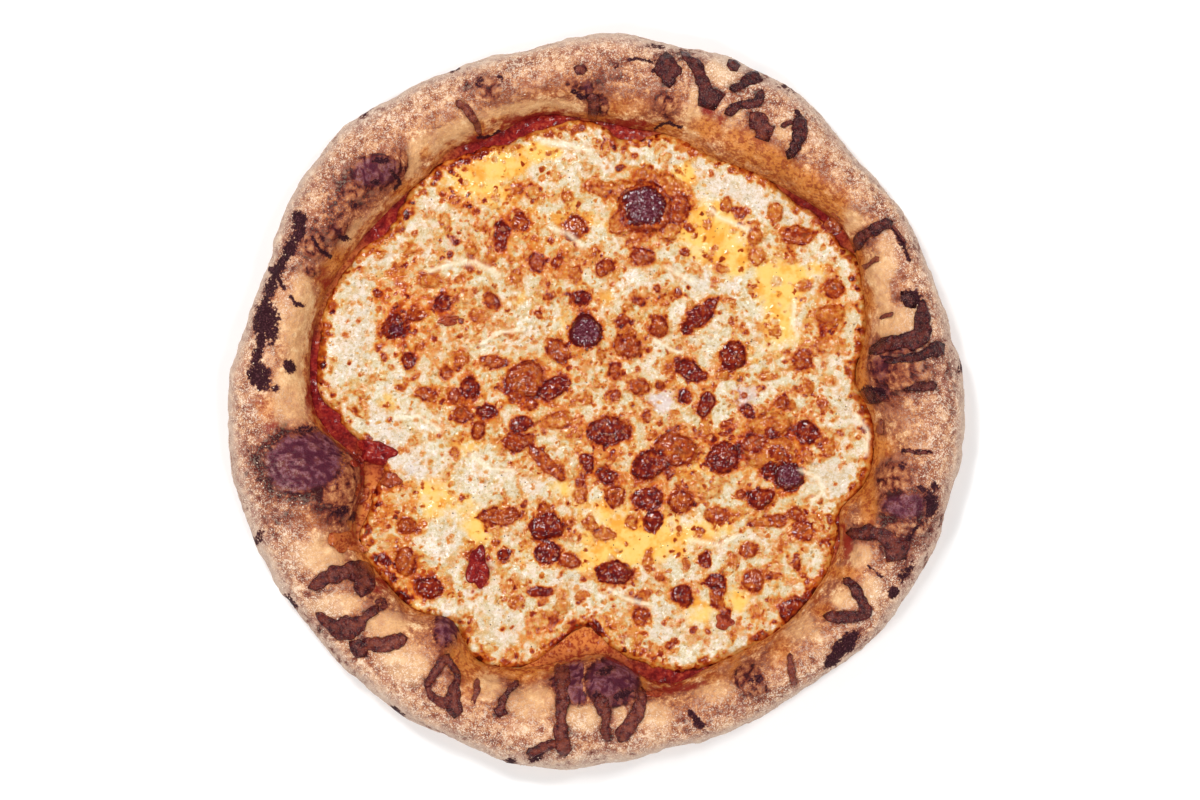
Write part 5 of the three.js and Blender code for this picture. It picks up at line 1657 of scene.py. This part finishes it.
def buildTomatoLumps(material, ground):
    rings, sides = 12, 36
    allPoints, allQuads, allTriangles = [], [], []
    oiliness = []
    for number, (atX, atY, halfLong, halfWide, turn, rise, oily) in enumerate(tomatoLumps):
        oiliness += [oily] * ((rings + 1) * sides)
        first = len(allPoints)
        cosTurn, sinTurn = math.cos(math.radians(turn)), math.sin(math.radians(turn))
        for ring in range(rings + 1):
            share = ring / rings
            out = math.sin(math.pi * share) ** 0.8
            for side in range(sides):
                angle = 2 * math.pi * side / sides
                sway = 1 + 0.14 * math.sin(3 * angle + 2 * number) + 0.10 * math.sin(5 * angle + 3 * number)
                right = halfLong * out * sway * math.cos(angle)
                up = halfWide * out * sway * math.sin(angle)
                pixelX = atX + right * cosTurn - up * sinTurn
                pixelY = atY - right * sinTurn - up * cosTurn
                x, y = fromPhoto(pixelX, pixelY, 12.0)
                base = heightBelow(ground, x, y)
                x, y = fromPhoto(pixelX, pixelY, base)
                lift = rise * math.cos(math.pi * share) if share < 0.5 else 0.8 * math.cos(math.pi * share)
                allPoints.append((x, y, base + lift))
        for ring in range(rings):
            for side in range(sides):
                here = first + ring * sides + side
                beside = first + ring * sides + (side + 1) % sides
                allQuads.append((here, here + sides, beside + sides, beside))
    points = np.array(allPoints)
    points[:, 2] += 0.70 * fractalNoise(points, 2.6, 2, 111)
    mesh = makeMesh("tomatoLumps", points, allQuads, allTriangles, {"oily": oiliness})
    finishPoles(mesh)
    return makePiece("tomatoLumps", mesh, material)


def finishPoles(mesh):
    import bmesh
    work = bmesh.new()
    work.from_mesh(mesh)
    bmesh.ops.remove_doubles(work, verts=work.verts, dist=0.00002)
    bmesh.ops.recalc_face_normals(work, faces=work.faces)
    work.to_mesh(mesh)
    work.free()
    for polygon in mesh.polygons:
        polygon.use_smooth = True


# Stage, light and camera.
lightSettings = {
    "sky": 0.22,
    "size": 0.35,
    "distance": 1.5,
    "lamps": {               # name: power in watts, azimuth and elevation in degrees
        "key": (12.5, 125.0, 52.0),
        "left": (7.8, 215.0, 50.0),
        "near": (7.8, 305.0, 50.0),
        "right": (7.8, 35.0, 50.0),
    },
}


def makeStage():
    half = 3.0
    mesh = bpy.data.meshes.new("floor")
    mesh.from_pydata([(-half, -half, 0), (half, -half, 0), (half, half, 0), (-half, half, 0)], [], [(0, 1, 2, 3)])
    floor = bpy.data.objects.new("floor", mesh)
    bpy.context.scene.collection.objects.link(floor)
    material, _, shader = newMaterial("paleFloor")
    shader.inputs["Base Color"].default_value = (0.95, 0.95, 0.95, 1.0)
    shader.inputs["Roughness"].default_value = 1.0
    shader.inputs["Specular IOR Level"].default_value = 0.0
    mesh.materials.append(material)


def makeLights():
    world = bpy.data.worlds.new("paleStudio")
    bpy.context.scene.world = world
    world.use_nodes = True
    background = world.node_tree.nodes["Background"]
    background.inputs["Color"].default_value = (1.0, 1.0, 1.0, 1.0)
    background.inputs["Strength"].default_value = lightSettings["sky"]
    for name, (power, azimuth, elevation) in lightSettings["lamps"].items():
        data = bpy.data.lights.new(name + "Light", "AREA")
        data.energy = power
        data.size = lightSettings["size"]
        lamp = bpy.data.objects.new(name + "Light", data)
        turn, tilt = math.radians(azimuth), math.radians(elevation)
        away = Vector((math.cos(turn) * math.cos(tilt), math.sin(turn) * math.cos(tilt), math.sin(tilt)))
        lamp.location = away * lightSettings["distance"]
        lamp.rotation_euler = (-away).to_track_quat("-Z", "Y").to_euler()
        bpy.context.scene.collection.objects.link(lamp)


def makeCamera():
    data = bpy.data.cameras.new("photoCamera")
    data.sensor_width = view["sensorWidth"]
    data.lens = view["sensorWidth"] * cameraDrop / (view["frameWidth"] * mmPerPixel)
    camera = bpy.data.objects.new("photoCamera", data)
    camera.location = (cameraX * 0.001, cameraY * 0.001, view["cameraHeight"] * 0.001)
    camera.rotation_euler = Euler((0.0, 0.0, 0.0))
    bpy.context.scene.collection.objects.link(camera)
    bpy.context.scene.camera = camera


makeCamera()
makeStage()
makeLights()
bpy.context.scene.view_settings.view_transform = "Standard"
print("stage, light and camera are set")

dough = buildCrust(makeDoughMaterial())
sauce = buildSauce(makeSauceMaterial())
cheese = buildCheese(makeCheeseMaterial())
doughTree = surfaceTree(dough.data)
cheeseTree = surfaceTree(cheese.data)
sauceTree = surfaceTree(sauce.data)
strips = buildStrips(makeStripMaterial(), [doughTree])
lumps = buildTomatoLumps(makeSauceMaterial(), [doughTree, cheeseTree, sauceTree])


def readValues(mesh, name):
    numbers = np.zeros(len(mesh.vertices), dtype=np.float32)
    mesh.attributes[name].data.foreach_get("value", numbers)
    return numbers


rimPlace = readValues(dough.data, "rimPlace")
dusted = smoothStep(rimPlace, -0.7, 0.6) * smoothStep(rimPlace, 1.9, 1.4)
dusted = dusted * (1 - 0.7 * readValues(dough.data, "cream")) * (1 - 0.6 * readValues(dough.data, "brown"))
dusted = dusted * (1 - smoothStep(readValues(dough.data, "charDepth"), -1.5, 1.0))
dusted = dusted * (1 - readValues(dough.data, "soot"))
scatterOn("flourGrains", dough.data, dusted, flourGrains, makeFlourMaterial())
onCheese = smoothStep(readValues(cheese.data, "toEdge"), 1.0, 4.0)
onCheese = onCheese * (1 - smoothStep(readValues(cheese.data, "depth"), -0.5, 0.5))
scatterOn("pepperGrains", cheese.data, onCheese, pepperGrains, makePepperMaterial())
print("all pieces are made")
